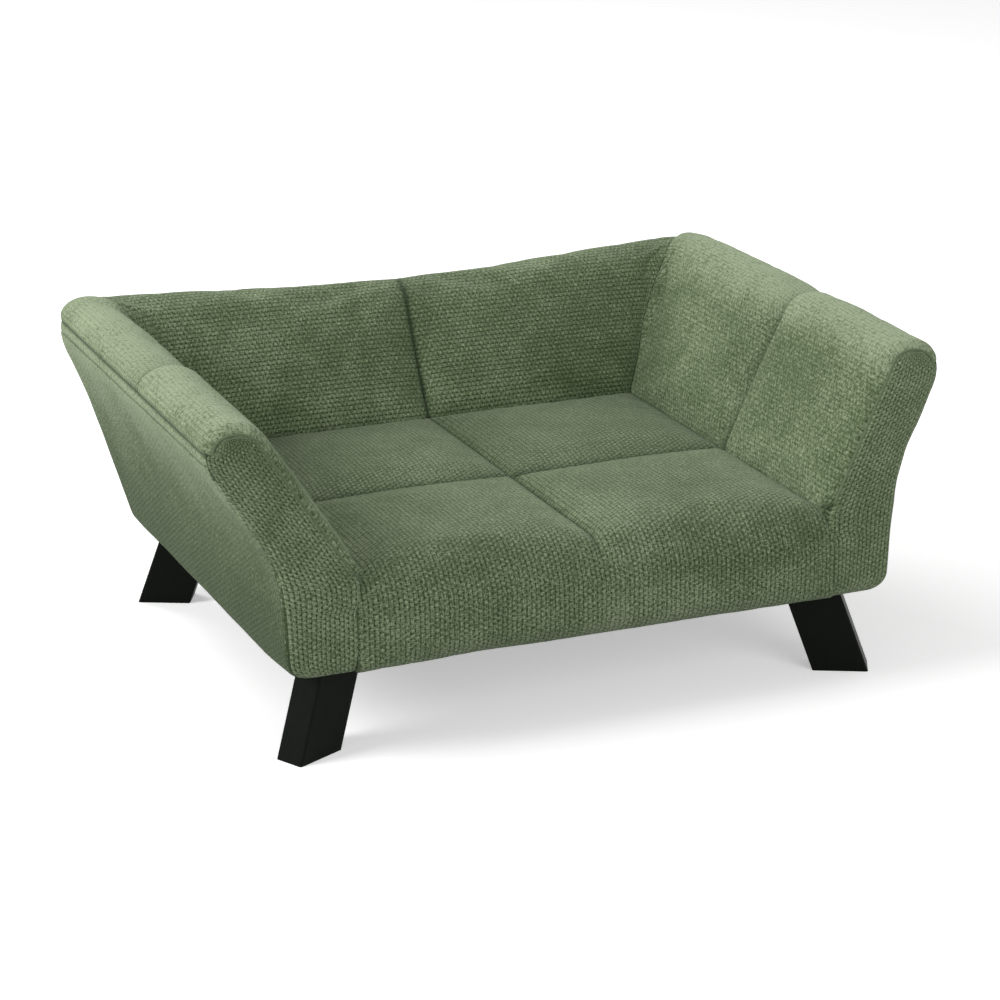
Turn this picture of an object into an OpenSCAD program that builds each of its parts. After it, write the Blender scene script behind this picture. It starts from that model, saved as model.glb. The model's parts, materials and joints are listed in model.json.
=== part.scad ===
// Upholstered dog sofa: a wooden base box on four slanted board legs, flared arms and back,
// and a padded chenille cover in separate sewn panels.
// Origin at the centre of the footprint on the floor, +X to the right seen from the front,
// +Y towards the back, +Z up. Left and right are as seen from the front.

/* [Seat] */
// Width of the seat between the arms
seat_w = 444; // [400:1:520]
// Depth of the seat from the arm fronts to the back
seat_d = 416; // [380:1:470]
// Height of the crown of each seat panel above its seams
seat_crown = 9; // [4:0.5:12]
// How far the front band stands in front of the arm fronts
band_proud = 8; // [6:0.5:12]
// Radius of the roll from the seat into the front band
roll_r = 38; // [30:1:44]
// Share of the seat depth in front of the cross seam
cross_seam_share = 0.485; // [0.4:0.005:0.6]

/* [Arms and back] */
// Height of the arm crest above the seat seams
arm_rise = 135; // [124:0.5:148]
// How far the back ends below the arms in the corners
corner_step = 11.5; // [6:0.5:14]
// How far the back dips in the middle
back_dip = 12.5; // [0:0.5:20]
// Lean of the arms' inner faces away from upright
flare_angle = 31.6; // [28:0.1:34]
// Lean of the back's inner face away from upright
back_lean = 28.6; // [24:0.1:31]
// Width of the crest from the inner face to the outer seam
crest_w = 54; // [50:1:60]
// Width of the back's crest from the inner face to the outer seam
back_crest_w = 42; // [38:1:48]
// Thickness of an arm at the base, from the seat edge to the outside
arm_base_t = 66; // [60:1:76]
// Thickness of the back at the base
back_base_t = 98; // [90:1:106]
// Radius of the upright rear corners, seen from above
corner_r = 42; // [30:1:44]
// Lean of the arm fronts away from upright
front_lean = 12.6; // [8:0.1:15]
// Crown of the padded inner faces
face_crown = 5; // [2:0.5:7]

/* [Padding] */
// Thickness of the fabric and wadding over the foam
cover_t = 8; // [6:0.5:10]
// Thickness of the foam on the arms and the back
side_foam_t = 24; // [18:1:26]
// Thickness of the foam on the back
back_foam_t = 16; // [15:1:18]
// Thickness of the seat foam
seat_foam_t = 21; // [15:1:30]
// Thickness of the seat cover and its wadding
seat_cover_t = 12; // [10:0.5:16]
// Thickness of the outer covers and their wadding
outer_t = 6; // [4:0.5:7]
// Depth of the sewn channels
channel_d = 5; // [2:0.5:6]
// Half width of a sewn channel
channel_w = 11; // [8:1:16]

/* [Frame] */
// Height of the base rails
rail_h = 48; // [42:1:56]
// Thickness of the base rails
rail_t = 15; // [12:1:18]
// Thickness of the seat board
seat_board_t = 9; // [6:1:12]
// Thickness of the arm and back boards
board_t = 10; // [8:0.5:11]
// Side of a square corner block
block_w = 60; // [54:1:70]
// Height of a corner block
block_h = 42; // [36:1:44]
// Thickness of the dust cover
dust_t = 1; // [0.8:0.1:1.5]

/* [Legs] */
// Height of the legs, from the floor to the underside
leg_h = 84; // [70:1:100]
// Width of a leg board
leg_w = 52; // [46:1:58]
// Thickness of a leg board
leg_t = 30; // [24:1:34]
// Turn of the legs away from the front, seen from above
leg_turn = 27; // [15:0.5:40]
// Slant of the legs in their own plane
leg_slant = 20; // [12:0.5:24]
// Clearance from a side rail to the flange of a leg nut
nut_side_gap = 2.25; // [1:0.25:8]
// Clearance from the front and rear rails to the flange of a leg nut
nut_end_gap = 14.4; // [10:0.2:18]
// Diameter of the leg bolts
bolt_d = 8; // [6:1:8]

/* [Hidden] */

$fn = 48;
fabric_colour = [0.38, 0.46, 0.31];
foam_colour = [0.93, 0.89, 0.74];
wood_colour = [0.78, 0.66, 0.47];
board_colour = [0.66, 0.53, 0.37];
leg_colour = [0.05, 0.06, 0.05];
steel_colour = [0.75, 0.75, 0.72];
lining_colour = [0.09, 0.09, 0.09];

// Running clearance between neighbouring soft and rigid pieces
fit_gap = 0.3;
// Overrun of every cutting body
overrun = 30;

// Heights of the stack, from the floor up
rail_z = leg_h + dust_t;
board_z = rail_z + rail_h;
stack_z = board_z + seat_board_t;
foam_top_z = stack_z + seat_foam_t;
seat_z = foam_top_z + seat_cover_t;
tuck = seat_z - stack_z;

// Plan of the body
crest_drop = 12;
flare = tan(flare_angle);
back_flare = tan(back_lean);
// Height of the back crest above the seat seams, lower in the middle
dip_reach = seat_w / 2 + 2 * crest_w;
function back_rise(x) = arm_rise - corner_step - back_dip * pow(cos(90 * min(1, abs(x) / dip_reach)), 2);
function arm_overhang() = (arm_rise - crest_drop) * flare + crest_w;
function back_overhang(rise) = (rise - crest_drop) * back_flare + back_crest_w;
depth = band_proud + seat_d + back_overhang(back_rise(seat_w / 2 + crest_w));
front_y = -depth / 2;
arm_front_y = front_y + band_proud;
crease_x = seat_w / 2;
crease_y = arm_front_y + seat_d;
base_x = crease_x + arm_base_t;
base_y = crease_y + back_base_t;
seam_y = arm_front_y + seat_d * cross_seam_share;
lean = tan(front_lean);
// The arm fronts start to lean a little below the seat seams
lean_drop = 7;
lean_z = seat_z - lean_drop;

// The wooden base box stands inside the rounded lower edge of the covers
hem_inset = 26;
band_inset = 14;
rear_inset = 20;
rail_x = base_x - hem_inset;
rail_front_y = arm_front_y + band_inset;
rail_back_y = base_y - rear_inset;
block_x = rail_x - rail_t - block_w / 2;
block_front_y = rail_front_y + rail_t + block_w / 2;
block_back_y = rail_back_y - rail_t - block_w / 2;

// General functions
function lerp(a, b, s) = a + (b - a) * s;
function clamp(v) = min(1, max(0, v));
function bezier(p, s) = pow(1 - s, 3) * p[0] + 3 * s * pow(1 - s, 2) * p[1]
    + 3 * s * s * (1 - s) * p[2] + pow(s, 3) * p[3];
pillow_power = 2.6;
function pillow(s) = 1 - pow(abs(2 * clamp(s) - 1), pillow_power);
function channel(distance) = exp(-pow(distance / channel_w, 2));
function unit(v) = v / norm(v);
// Normal on the left of a path at one of its points
function left_normal(path, i) = let (
    a = path[max(0, i - 1)],
    b = path[min(len(path) - 1, i + 1)],
    t = unit(b - a)) [-t[1], t[0]];
function shifted(path, amounts) = [for (i = [0:len(path) - 1]) path[i] + left_normal(path, i) * amounts[i]];
function moved(path, amount) = shifted(path, [for (p = path) amount]);
function reversed(list) = [for (i = [len(list) - 1:-1:0]) list[i]];
function flat(grid) = [for (row = grid) each row];
function mirrored(grid) = [for (row = grid) [for (p = row) [-p[0], p[1], p[2]]]];

// Closed solid between two grids of points with the same rows and columns
module slab(outside, inside) {
    rows = len(outside);
    cols = len(outside[0]);
    n = rows * cols;
    function at(r, c, side) = side * n + r * cols + c;
    skin = [for (r = [0:rows - 2]) for (c = [0:cols - 2])
        each [[at(r, c, 0), at(r + 1, c, 0), at(r, c + 1, 0)],
            [at(r, c + 1, 0), at(r + 1, c, 0), at(r + 1, c + 1, 0)]]];
    lining = [for (r = [0:rows - 2]) for (c = [0:cols - 2])
        each [[at(r, c, 1), at(r, c + 1, 1), at(r + 1, c, 1)],
            [at(r, c + 1, 1), at(r + 1, c + 1, 1), at(r + 1, c, 1)]]];
    row_ends = [for (r = [0:rows - 2]) each [
        [at(r, 0, 0), at(r, 0, 1), at(r + 1, 0, 0)],
        [at(r + 1, 0, 0), at(r, 0, 1), at(r + 1, 0, 1)],
        [at(r, cols - 1, 0), at(r + 1, cols - 1, 0), at(r, cols - 1, 1)],
        [at(r + 1, cols - 1, 0), at(r + 1, cols - 1, 1), at(r, cols - 1, 1)]]];
    col_ends = [for (c = [0:cols - 2]) each [
        [at(0, c, 0), at(0, c + 1, 0), at(0, c, 1)],
        [at(0, c + 1, 0), at(0, c + 1, 1), at(0, c, 1)],
        [at(rows - 1, c, 0), at(rows - 1, c, 1), at(rows - 1, c + 1, 0)],
        [at(rows - 1, c + 1, 0), at(rows - 1, c, 1), at(rows - 1, c + 1, 1)]]];
    polyhedron(points = concat(flat(outside), flat(inside)),
        faces = concat(skin, lining, row_ends, col_ends), convexity = 6);
}

module both_sides() {
    children();
    mirror([1, 0, 0]) children();
}

// Cross section of the arms and the back, as [outward distance, height above the seat seams]
front_seam_drop = 22;
rear_seam_drop = 18;
back_seam_drop = rear_seam_drop - corner_step;
crest_pull_in = 22;
crest_pull_out = 25;
face_shares = [0, 0.12, 0.35, 0.6, 0.85, 1];
crest_shares = [0.15, 0.3, 0.45, 0.6, 0.75, 0.88, 1];
section_crown_shares = [0, 0, 0.45, 0.9, 1, 0.65, 0.4, 0.45, 0.6, 0.7, 0.6, 0.45, 0.2, 0];
section_channel_shares = [0.2, 0.5, 0.8, 1, 1, 1, 1, 1, 1, 1, 0.9, 0.8, 0.6, 0.2];
function crest_curve(rise, seam_drop) = let (
    top = rise - crest_drop,
    a = [top * flare, top],
    d = [a[0] + crest_w, rise - seam_drop])
    [a, a + crest_pull_in * [sin(flare_angle), cos(flare_angle)], d + [0, crest_pull_out], d];
function section(rise, seam_drop) = let (
    curve = crest_curve(rise, seam_drop),
    top = rise - crest_drop) concat(
    [[0, fit_gap - tuck]],
    [for (s = face_shares) [top * flare * s, top * s]],
    [for (s = crest_shares) bezier(curve, s)]);
section_last = len(face_shares) + len(crest_shares);
// Lining side of the padding, ending level with the outer seam
function lining(base) = let (path = moved(base, -cover_t))
    [for (i = [0:section_last]) i == section_last ? base[i] - [cover_t, 0] : path[i]];
// Outward distances of the back and of the arms that meet in the mitre at the same height
face_top = arm_rise - crest_drop;
back_share = back_crest_w / crest_w;
function back_reach(p, top = face_top) = let (h = max(0, min(p[1], top)))
    back_flare * h + (p[0] - flare * h) * back_share;
function arm_reach(p) = let (h = max(0, min(p[1], face_top)))
    flare * h + (p[0] - back_flare * h) / back_share;
function back_section(rise, seam_drop) = [for (p = section(rise, seam_drop))
    [back_reach(p, rise - crest_drop), p[1]]];

// Radius of the rear corner at a distance out from the crease
corner_min_r = 0.6;
function corner_radius(d) = corner_min_r + (corner_r - corner_min_r) * clamp(d / (arm_base_t + crest_w));
arc_shares = [0.35, 0.7, 1];

// Front of the arms: upright up to the seat, leaning back above it
function arm_front(z) = arm_front_y + max(0, z - lean_z) * lean;

// Point of the arm padding: station runs from the arm front to the mitre with the back
function arm_point(p, y) = [crease_x + p[0], y, seat_z + p[1]];
function arm_arc_point(p, s) = let (r = corner_radius(p[0]))
    [crease_x + p[0] - r + r * cos(45 * s), crease_y + back_reach(p) - r + r * sin(45 * s), seat_z + p[1]];
mitre_gap = fit_gap;
front_shares = [0, 0.02, 0.08, 0.25, 0.5, 0.75, 0.9, 0.96, 1];
rear_shares = [0.04, 0.1, 0.25, 0.5, 0.75, 0.92, 1];
edge_roll = 3;
function arm_straight_end(p) = crease_y + back_reach(p) - corner_radius(p[0]) - mitre_gap;
function arm_padding_row(part, s, inner) = let (
    seam_drop = lerp(front_seam_drop, rear_seam_drop, part == 0 ? s / 2 : part == 1 ? (1 + s) / 2 : 1),
    base = section(arm_rise, seam_drop),
    along = part == 2 ? 1 : s,
    distance = part == 0 ? (1 - s) * (seam_y - arm_front_y)
        : part == 1 ? s * (crease_y - seam_y) : crease_y - seam_y,
    amounts = [for (i = [0:section_last])
        (part == 2 ? 0 : face_crown * section_crown_shares[i] * pillow(along))
        - channel_d * channel(distance) * section_channel_shares[i]
        - (part == 0 && s == 0 ? edge_roll : 0)],
    path = inner ? lining(base) : shifted(base, amounts))
    [for (i = [0:section_last]) let (p = path[i], z = seat_z + p[1])
        part == 0 ? arm_point(p, lerp(arm_front(z), seam_y, s))
        : part == 1 ? arm_point(p, lerp(seam_y, arm_straight_end(p), s))
        : arm_arc_point(p, s) - [0, mitre_gap, 0]];
function arm_padding(inner) = concat(
    [for (s = front_shares) arm_padding_row(0, s, inner)],
    [for (s = rear_shares) arm_padding_row(1, s, inner)],
    [for (s = arc_shares) arm_padding_row(2, s, inner)]);

module right_arm_pad() color(fabric_colour) slab(arm_padding(false), arm_padding(true));
module left_arm_pad() color(fabric_colour) slab(mirrored(arm_padding(true)), mirrored(arm_padding(false)));

// Padding of the back, in two panels with a channel between them
back_shares = [0, 0.03, 0.09, 0.25, 0.5, 0.75, 0.92, 1];
function back_padding_row(side, part, s, inner) = let (
    nominal_x = part == 0 ? s * (crease_x + crest_w) : crease_x + (1 + s) * crest_w,
    base = back_section(back_rise(nominal_x), back_seam_drop),
    amounts = [for (i = [0:section_last])
        (part == 0 ? face_crown * section_crown_shares[i] * pillow(s) : 0)
        - channel_d * channel(part == 0 ? s * crease_x : crease_x) * section_channel_shares[i]],
    path = inner ? lining(base) : shifted(base, amounts))
    [for (i = [0:section_last]) let (
        p = path[i],
        reach = arm_reach(p),
        r = corner_radius(reach),
        straight = crease_x + reach - r - mitre_gap)
        part == 0 ? [side * s * straight, crease_y + p[0], seat_z + p[1]]
        : [side * (straight + r * sin(45 * s)), crease_y + p[0] - r + r * cos(45 * s), seat_z + p[1]]];
function back_padding(inner) = concat(
    [for (s = reversed(arc_shares)) back_padding_row(-1, 1, s, inner)],
    [for (i = [len(back_shares) - 1:-1:1]) back_padding_row(-1, 0, back_shares[i], inner)],
    [for (s = back_shares) back_padding_row(1, 0, s, inner)],
    [for (s = arc_shares) back_padding_row(1, 1, s, inner)]);

module back_pad() color(fabric_colour) slab(back_padding(true), back_padding(false));

// Seat cover: two by two crowned panels, a roll over the front edge and the front band
rear_panel_shares = [0, 0.04, 0.12, 0.3, 0.55, 0.8, 0.93, 1];
front_panel_shares = [0.06, 0.16, 0.38, 0.64, 0.86, 1];
roll_angles = [22.5, 45, 67.5, 90];
band_shares = [0.12, 0.5, 1];
under_angles = [30, 60, 90];
across_shares = [0, 0.035, 0.1, 0.28, 0.55, 0.8, 0.94, 1];
band_bottom_r = 14;
roll_y = front_y + roll_r;
roll_z = seat_z - roll_r;
band_low_z = leg_h + band_bottom_r;
lining_lift = 6;
band_back_y = rail_front_y - fit_gap;
// Rows of the seat as [y, z, direction out, lining y, lining z, share of the centre channel]
seat_rows = concat(
    [for (s = rear_panel_shares) let (y = lerp(crease_y - fit_gap, seam_y, s))
        [y, seat_z, 90, y, foam_top_z, 1]],
    [for (s = front_panel_shares) let (y = lerp(seam_y, roll_y, s))
        [y, seat_z, 90, y, foam_top_z, 1]],
    [for (a = roll_angles)
        [roll_y - roll_r * sin(a), roll_z + roll_r * cos(a), 90 + a,
            lerp(roll_y, band_back_y, sin(a)), lerp(stack_z, foam_top_z, cos(a)), pow(cos(a), 2)]],
    [for (s = band_shares) let (z = lerp(roll_z, band_low_z, s))
        [front_y, z, 180, band_back_y, lerp(roll_z, band_low_z, s), 0]],
    [for (a = under_angles)
        [front_y + band_bottom_r * (1 - cos(a)), band_low_z - band_bottom_r * sin(a), 180 + a,
            band_back_y, lerp(band_low_z, leg_h + lining_lift, (1 - cos(a)) / 2), 0]],
    [[band_back_y, leg_h, 270, band_back_y, leg_h + lining_lift, 0]]);
function seat_half_w(z) = crease_x - fit_gap + (z < roll_z ? cover_t : 0);
band_end_drop = 4;
function seat_point(row, share, inner) = let (
    z = row[1],
    half_w = seat_half_w(inner ? row[4] : z),
    x = share * half_w,
    edge = half_w - abs(x),
    along = row[0] > seam_y ? (crease_y - row[0]) / (crease_y - seam_y)
        : (seam_y - row[0]) / (seam_y - front_y),
    on_top = z == seat_z ? 1 : 0,
    crown = row[2] < 180 ? seat_crown * pillow(abs(share)) * pillow(along) : 0,
    groove = channel_d * max(channel(x) * row[5], channel(row[0] - seam_y) * on_top,
        channel(edge) * row[5], channel(crease_y - row[0])),
    band = z < seat_z ? band_end_drop * pow(abs(share), 6) * (1 - row[5]) * (row[2] <= 180 ? 1 : 0) : 0,
    out = crown - groove)
    inner ? [x, row[3], row[4]]
    : [x, row[0] + out * cos(row[2]) + band, z + out * sin(row[2])];
function seat_grid(inner) = [for (row = seat_rows)
    concat([for (i = [len(across_shares) - 1:-1:1]) seat_point(row, -across_shares[i], inner)],
        [for (s = across_shares) seat_point(row, s, inner)])];

module seat_cover() color(fabric_colour) slab(seat_grid(true), seat_grid(false));

// Outer covers: profiles as [share of the height, share of the overhang]
front_profile_shares = [[0, 0.05], [0.13, 0.07], [0.32, 0.1], [0.49, 0.19], [0.59, 0.31], [0.67, 0.45],
    [0.75, 0.63], [0.85, 0.82], [0.95, 0.99], [1, 1.01]];
rear_profile_shares = [[0, 0.06], [0.13, 0.17], [0.34, 0.37], [0.5, 0.53], [0.68, 0.72], [0.78, 0.85],
    [0.9, 1], [0.96, 1.04], [1, 1.03]];
back_profile_shares = [[0, 0], [0.13, 0.05], [0.34, 0.15], [0.5, 0.28], [0.68, 0.5], [0.78, 0.66],
    [0.9, 0.9], [1, 1]];
// Half width of the side at a share of the height and a share of the way back
function side_x(u, s) = base_x + (arm_overhang() - arm_base_t)
    * lerp(lookup(u, front_profile_shares), lookup(u, rear_profile_shares), s);
function side_top(s) = seat_z + arm_rise - lerp(front_seam_drop, rear_seam_drop, s) - fit_gap;
function back_y(u, rise) = base_y + (back_overhang(rise) - back_base_t) * lookup(u, back_profile_shares);
function back_top(rise) = seat_z + rise - back_seam_drop - fit_gap;

cover_height_shares = [1, 0.95, 0.87, 0.77, 0.67, 0.56, 0.44, 0.28, 0.12];
hem_angles = [30, 60, 90];
hem_r = 9;
front_hem_r = 17;
front_hem_share = 0.15;
function hem_radius(s) = lerp(front_hem_r, hem_r, clamp(s / front_hem_share));
// Rows of an outer cover as [share of the height, inset of the round hem, lift]
function cover_rows(top_z, r) = concat(
    [for (u = cover_height_shares) [u, 0, lerp(leg_h, top_z, u)]],
    [for (a = hem_angles) [0, r * (1 - cos(a)), leg_h + r * (1 - sin(a))]]);
function hem_inner_z(z) = max(z, leg_h + outer_t);

side_shares = [0, 0.02, 0.15, 0.4, 0.65, 0.85, 1];
front_edge_r = 3;
// Column of a side cover: straight run, then the rear corner
function side_cover_column(s, arc, inner) = let (top_z = side_top(s)) concat(
    [for (row = cover_rows(top_z, hem_radius(s))) let (
        t = inner ? outer_t : 0,
        edge = !inner && s == 0 ? front_edge_r : 0,
        x = side_x(row[0], s) - t - row[1],
        back = back_y(row[0], arm_rise - corner_step) - t - row[1],
        r = corner_r - t,
        z = inner ? hem_inner_z(row[2]) : row[2],
        front = arm_front(z))
        arc == 0 ? [x - edge, lerp(front, back - r - mitre_gap, s), z]
        : [x - r + r * cos(45 * arc), back - r - mitre_gap + r * sin(45 * arc), z]],
    [let (
        back = rail_back_y + fit_gap,
        z = leg_h + (inner ? outer_t : 0),
        r = fit_gap)
        arc == 0 ? [rail_x + fit_gap, lerp(arm_front(z), back - r - mitre_gap, s), z]
        : [rail_x + fit_gap - r + r * cos(45 * arc), back - r - mitre_gap + r * sin(45 * arc), z]]);
function side_cover(inner) = concat(
    [for (s = side_shares) side_cover_column(s, 0, inner)],
    [for (a = arc_shares) side_cover_column(1, a, inner)]);
module right_outer_cover() color(fabric_colour) slab(side_cover(false), side_cover(true));
module left_outer_cover() color(fabric_colour) slab(mirrored(side_cover(true)), mirrored(side_cover(false)));

back_cover_shares = [0, 0.25, 0.5, 0.78, 1];
function back_cover_column(side, s, arc, inner) = let (
    rise = back_rise(s * (crease_x + crest_w) + arc * crest_w),
    top_z = back_top(rise)) concat(
    [for (row = cover_rows(top_z, hem_r)) let (
        t = inner ? outer_t : 0,
        x = side_x(row[0], 1) - t - row[1],
        back = back_y(row[0], rise) - t - row[1],
        r = corner_r - t,
        z = inner ? hem_inner_z(row[2]) : row[2])
        arc == 0 ? [side * s * (x - r - mitre_gap), back, z]
        : [side * (x - r - mitre_gap + r * sin(45 * arc)), back - r + r * cos(45 * arc), z]],
    [let (
        x = rail_x + fit_gap,
        back = rail_back_y + fit_gap,
        z = leg_h + (inner ? outer_t : 0),
        r = fit_gap)
        arc == 0 ? [side * s * (x - r - mitre_gap), back, z]
        : [side * (x - r - mitre_gap + r * sin(45 * arc)), back - r + r * cos(45 * arc), z]]);
function back_cover(inner) = concat(
    [for (a = reversed(arc_shares)) back_cover_column(-1, 1, a, inner)],
    [for (i = [len(back_cover_shares) - 1:-1:1]) back_cover_column(-1, back_cover_shares[i], 0, inner)],
    [for (s = back_cover_shares) back_cover_column(1, s, 0, inner)],
    [for (a = arc_shares) back_cover_column(1, 1, a, inner)]);
module back_outer_cover() color(fabric_colour) slab(back_cover(true), back_cover(false));

// Front panel of an arm, from the lower edge up to the crest
front_crown = 4;
front_edge_sink = 2;
panel_across_shares = [0, 0.08, 0.3, 0.7, 0.92, 1];
outer_crest_shares = [0.93, 0.84, 0.74, 0.64];
inner_crest_index = 9;
former_slope_z = stack_z;
function former_front(z) = rail_front_y + max(0, z - former_slope_z) * lean;
front_section = moved(section(arm_rise, front_seam_drop), -cover_t - fit_gap);
panel_clear = 0.9;
function outer_edge(z) = side_x(clamp((z - leg_h) / (side_top(0) - leg_h)), 0) - outer_t - panel_clear;
outer_crest_curve = [for (s = outer_crest_shares) bezier(crest_curve(arm_rise, front_seam_drop), s)];
outer_crest = moved(outer_crest_curve, cover_t + fit_gap);
// Rows of the front panel as [inner x, outer x, inner z, outer z, set back at the round lower edge]
panel_under_angles = [90, 60, 30, 0];
panel_rows = concat(
    [for (a = panel_under_angles) let (z = leg_h + front_hem_r * (1 - sin(a)))
        [crease_x + cover_t + fit_gap, a == 90 ? rail_x : outer_edge(z) - front_hem_r * (1 - cos(a)),
            z, max(z, leg_h + outer_t + fit_gap),
            (rail_front_y - arm_front_y - lining_lift) * (1 - cos(a))]],
    [for (z = [stack_z]) [crease_x + cover_t + fit_gap, outer_edge(z), z, z, 0]],
    [for (i = [1:inner_crest_index - len(outer_crest_shares)]) let (p = front_section[i], z = seat_z + p[1])
        [crease_x + p[0], outer_edge(z), z, z, 0]],
    [for (k = [0:len(outer_crest_shares) - 1]) let (
        p = front_section[inner_crest_index - len(outer_crest_shares) + 1 + k],
        q = outer_crest[k])
        [crease_x + p[0], crease_x + q[0], seat_z + p[1], seat_z + q[1], 0]]);
function panel_point(row, s, inner) = let (
    z = lerp(row[2], row[3], s),
    crown = (front_crown + front_edge_sink) * pillow(s) - front_edge_sink)
    [lerp(row[0], row[1], s),
        inner ? former_front(z) - fit_gap : arm_front(z) + row[4] - crown * (row[4] == 0 ? 1 : 0),
        z + (inner && z < leg_h + lining_lift ? lining_lift : 0)];
function panel_grid(inner) = [for (row = panel_rows)
    [for (s = panel_across_shares) panel_point(row, s, inner)]];
module right_arm_front() color(fabric_colour) slab(panel_grid(false), panel_grid(true));
module left_arm_front() color(fabric_colour) slab(mirrored(panel_grid(true)), mirrored(panel_grid(false)));

// Boards and foam of the arms and the back
function foam_out(angle, foam) = (cover_t + foam) / cos(angle);
function board_out(angle, foam) = foam_out(angle, foam) + board_t / cos(angle);
board_top_gap = 4;
board_top = arm_rise - front_seam_drop - board_top_gap;
mitre_slope_share = 0.55;
arm_foam_out = foam_out(flare_angle, side_foam_t);
arm_board_out = board_out(flare_angle, side_foam_t);
back_foam_out = foam_out(back_lean, back_foam_t);
back_board_out = board_out(back_lean, back_foam_t);
function board_profile(angle, foam) = [for (p = [
        [foam_out(angle, foam), -tuck], [board_out(angle, foam), -tuck],
        [board_out(angle, foam), board_top], [foam_out(angle, foam), board_top]])
    [p[0] + p[1] * tan(angle), p[1]]];
foam_profile = concat(
    [[cover_t + fit_gap, -tuck]],
    [for (i = [1:section_last]) front_section[i]],
    [[arm_board_out + board_top * flare, board_top + fit_gap],
        [arm_foam_out + board_top * flare - fit_gap, board_top + fit_gap],
        [arm_foam_out - fit_gap - tuck * flare, -tuck]]);
former_t = board_t / cos(front_lean);
// Room for an arm's inner pieces in plan, in front of the mitre
module arm_room() {
    far = depth;
    translate([crease_x, crease_y, 0])
        linear_extrude(seat_z + arm_rise)
            polygon([[0, -far], [far, -far], [far, far * mitre_slope_share], [0, -fit_gap]]);
}
// Room behind the leaning front former
module behind_former() {
    top_z = seat_z + arm_rise;
    rotate([90, 0, 90])
        linear_extrude(seat_w + overrun)
            polygon([[former_front(stack_z) + former_t + fit_gap, stack_z], [depth, stack_z], [depth, top_z],
                [former_front(top_z) + former_t + fit_gap, top_z]]);
}
module arm_run(profile) intersection() {
    translate([crease_x, depth / 2, seat_z])
        rotate([90, 0, 0])
            linear_extrude(depth)
                polygon(profile);
    arm_room();
    behind_former();
}
module left_arm_board() color(board_colour) mirror([1, 0, 0])
    arm_run(board_profile(flare_angle, side_foam_t));
module right_arm_board() color(board_colour) arm_run(board_profile(flare_angle, side_foam_t));
module left_arm_foam() color(foam_colour) mirror([1, 0, 0]) arm_run(foam_profile);
module right_arm_foam() color(foam_colour) arm_run(foam_profile);

// Shaped board behind the front panel, standing on the seat board and leaning back
former_clear = 1.5;
former_heights = [0.3, 0.45, 0.55, 0.65, 0.75, 0.85, 0.93, 1];
former_outline = concat(
    [[cover_t + fit_gap, -tuck]],
    [for (i = [1:section_last]) front_section[i] - [0, fit_gap]],
    [for (u = reversed(former_heights)) let (z = lerp(leg_h, side_top(0), u))
        if (z > stack_z && z < seat_z + front_section[section_last][1])
            [outer_edge(z) - crease_x - former_clear, z - seat_z]],
    [[outer_edge(stack_z) - crease_x - former_clear, -tuck]]);
module front_former() color(board_colour) difference() {
    translate([crease_x, rail_front_y, stack_z])
        rotate([-front_lean, 0, 0])
            translate([0, board_t, 0])
                rotate([90, 0, 0])
                    linear_extrude(board_t)
                        polygon([for (p = former_outline) [p[0], (p[1] + tuck) / cos(front_lean)]]);
    translate([0, rail_front_y - overrun, stack_z - overrun])
        cube([base_x + crest_w, 2 * overrun + board_t, overrun]);
}
module right_front_former() front_former();
module left_front_former() mirror([1, 0, 0]) front_former();

// Gusset between an arm board and the outer cover
gusset_setback = 14;
gusset_heights = [0.4, 0.55, 0.7, 0.82];
gusset_share = 0.75;
function rear_edge(u) = side_x(u, gusset_share) - outer_t - fit_gap - crease_x;
module rear_gusset() color(board_colour)
    translate([crease_x, crease_y + gusset_setback, seat_z])
        rotate([90, 0, 0])
            linear_extrude(board_t)
                polygon(concat(
                    [[arm_board_out + board_top * flare, board_top],
                        [arm_board_out - tuck * flare, -tuck], [rail_x - crease_x, -tuck]],
                    [for (u = gusset_heights) [rear_edge(u), lerp(leg_h, side_top(1), u) - seat_z]]));
module right_rear_gusset() rear_gusset();
module left_rear_gusset() mirror([1, 0, 0]) rear_gusset();

// Back board, cut to the dip of the crest and mitred at its ends
dip_steps = 16;
function board_top_at(x) = back_rise(x) - arm_rise + board_top;
function dip_outline(rise_of, reach) = concat(
    [[reach, arm_rise + overrun], [-reach, arm_rise + overrun]],
    [for (k = [0:dip_steps]) let (x = lerp(-reach, reach, k / dip_steps)) [x, rise_of(x)]]);
module back_room() {
    reach = crest_w + crest_w / 2;
    near = reach * mitre_slope_share;
    translate([0, crease_y, 0])
        linear_extrude(seat_z + arm_rise)
            polygon([[crease_x - fit_gap, 0], [crease_x + reach, near], [crease_x + reach, depth],
                [-crease_x - reach, depth], [-crease_x - reach, near], [fit_gap - crease_x, 0]]);
}
module back_board() color(board_colour) difference() {
    intersection() {
        translate([-base_x - crest_w, crease_y, seat_z])
            rotate([90, 0, 90])
                linear_extrude(2 * (base_x + crest_w))
                    polygon(board_profile(back_lean, back_foam_t));
        back_room();
    }
    translate([0, depth, seat_z])
        rotate([90, 0, 0])
            linear_extrude(depth)
                polygon(dip_outline(function(x) board_top_at(x), base_x + crest_w + overrun));
}
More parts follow.
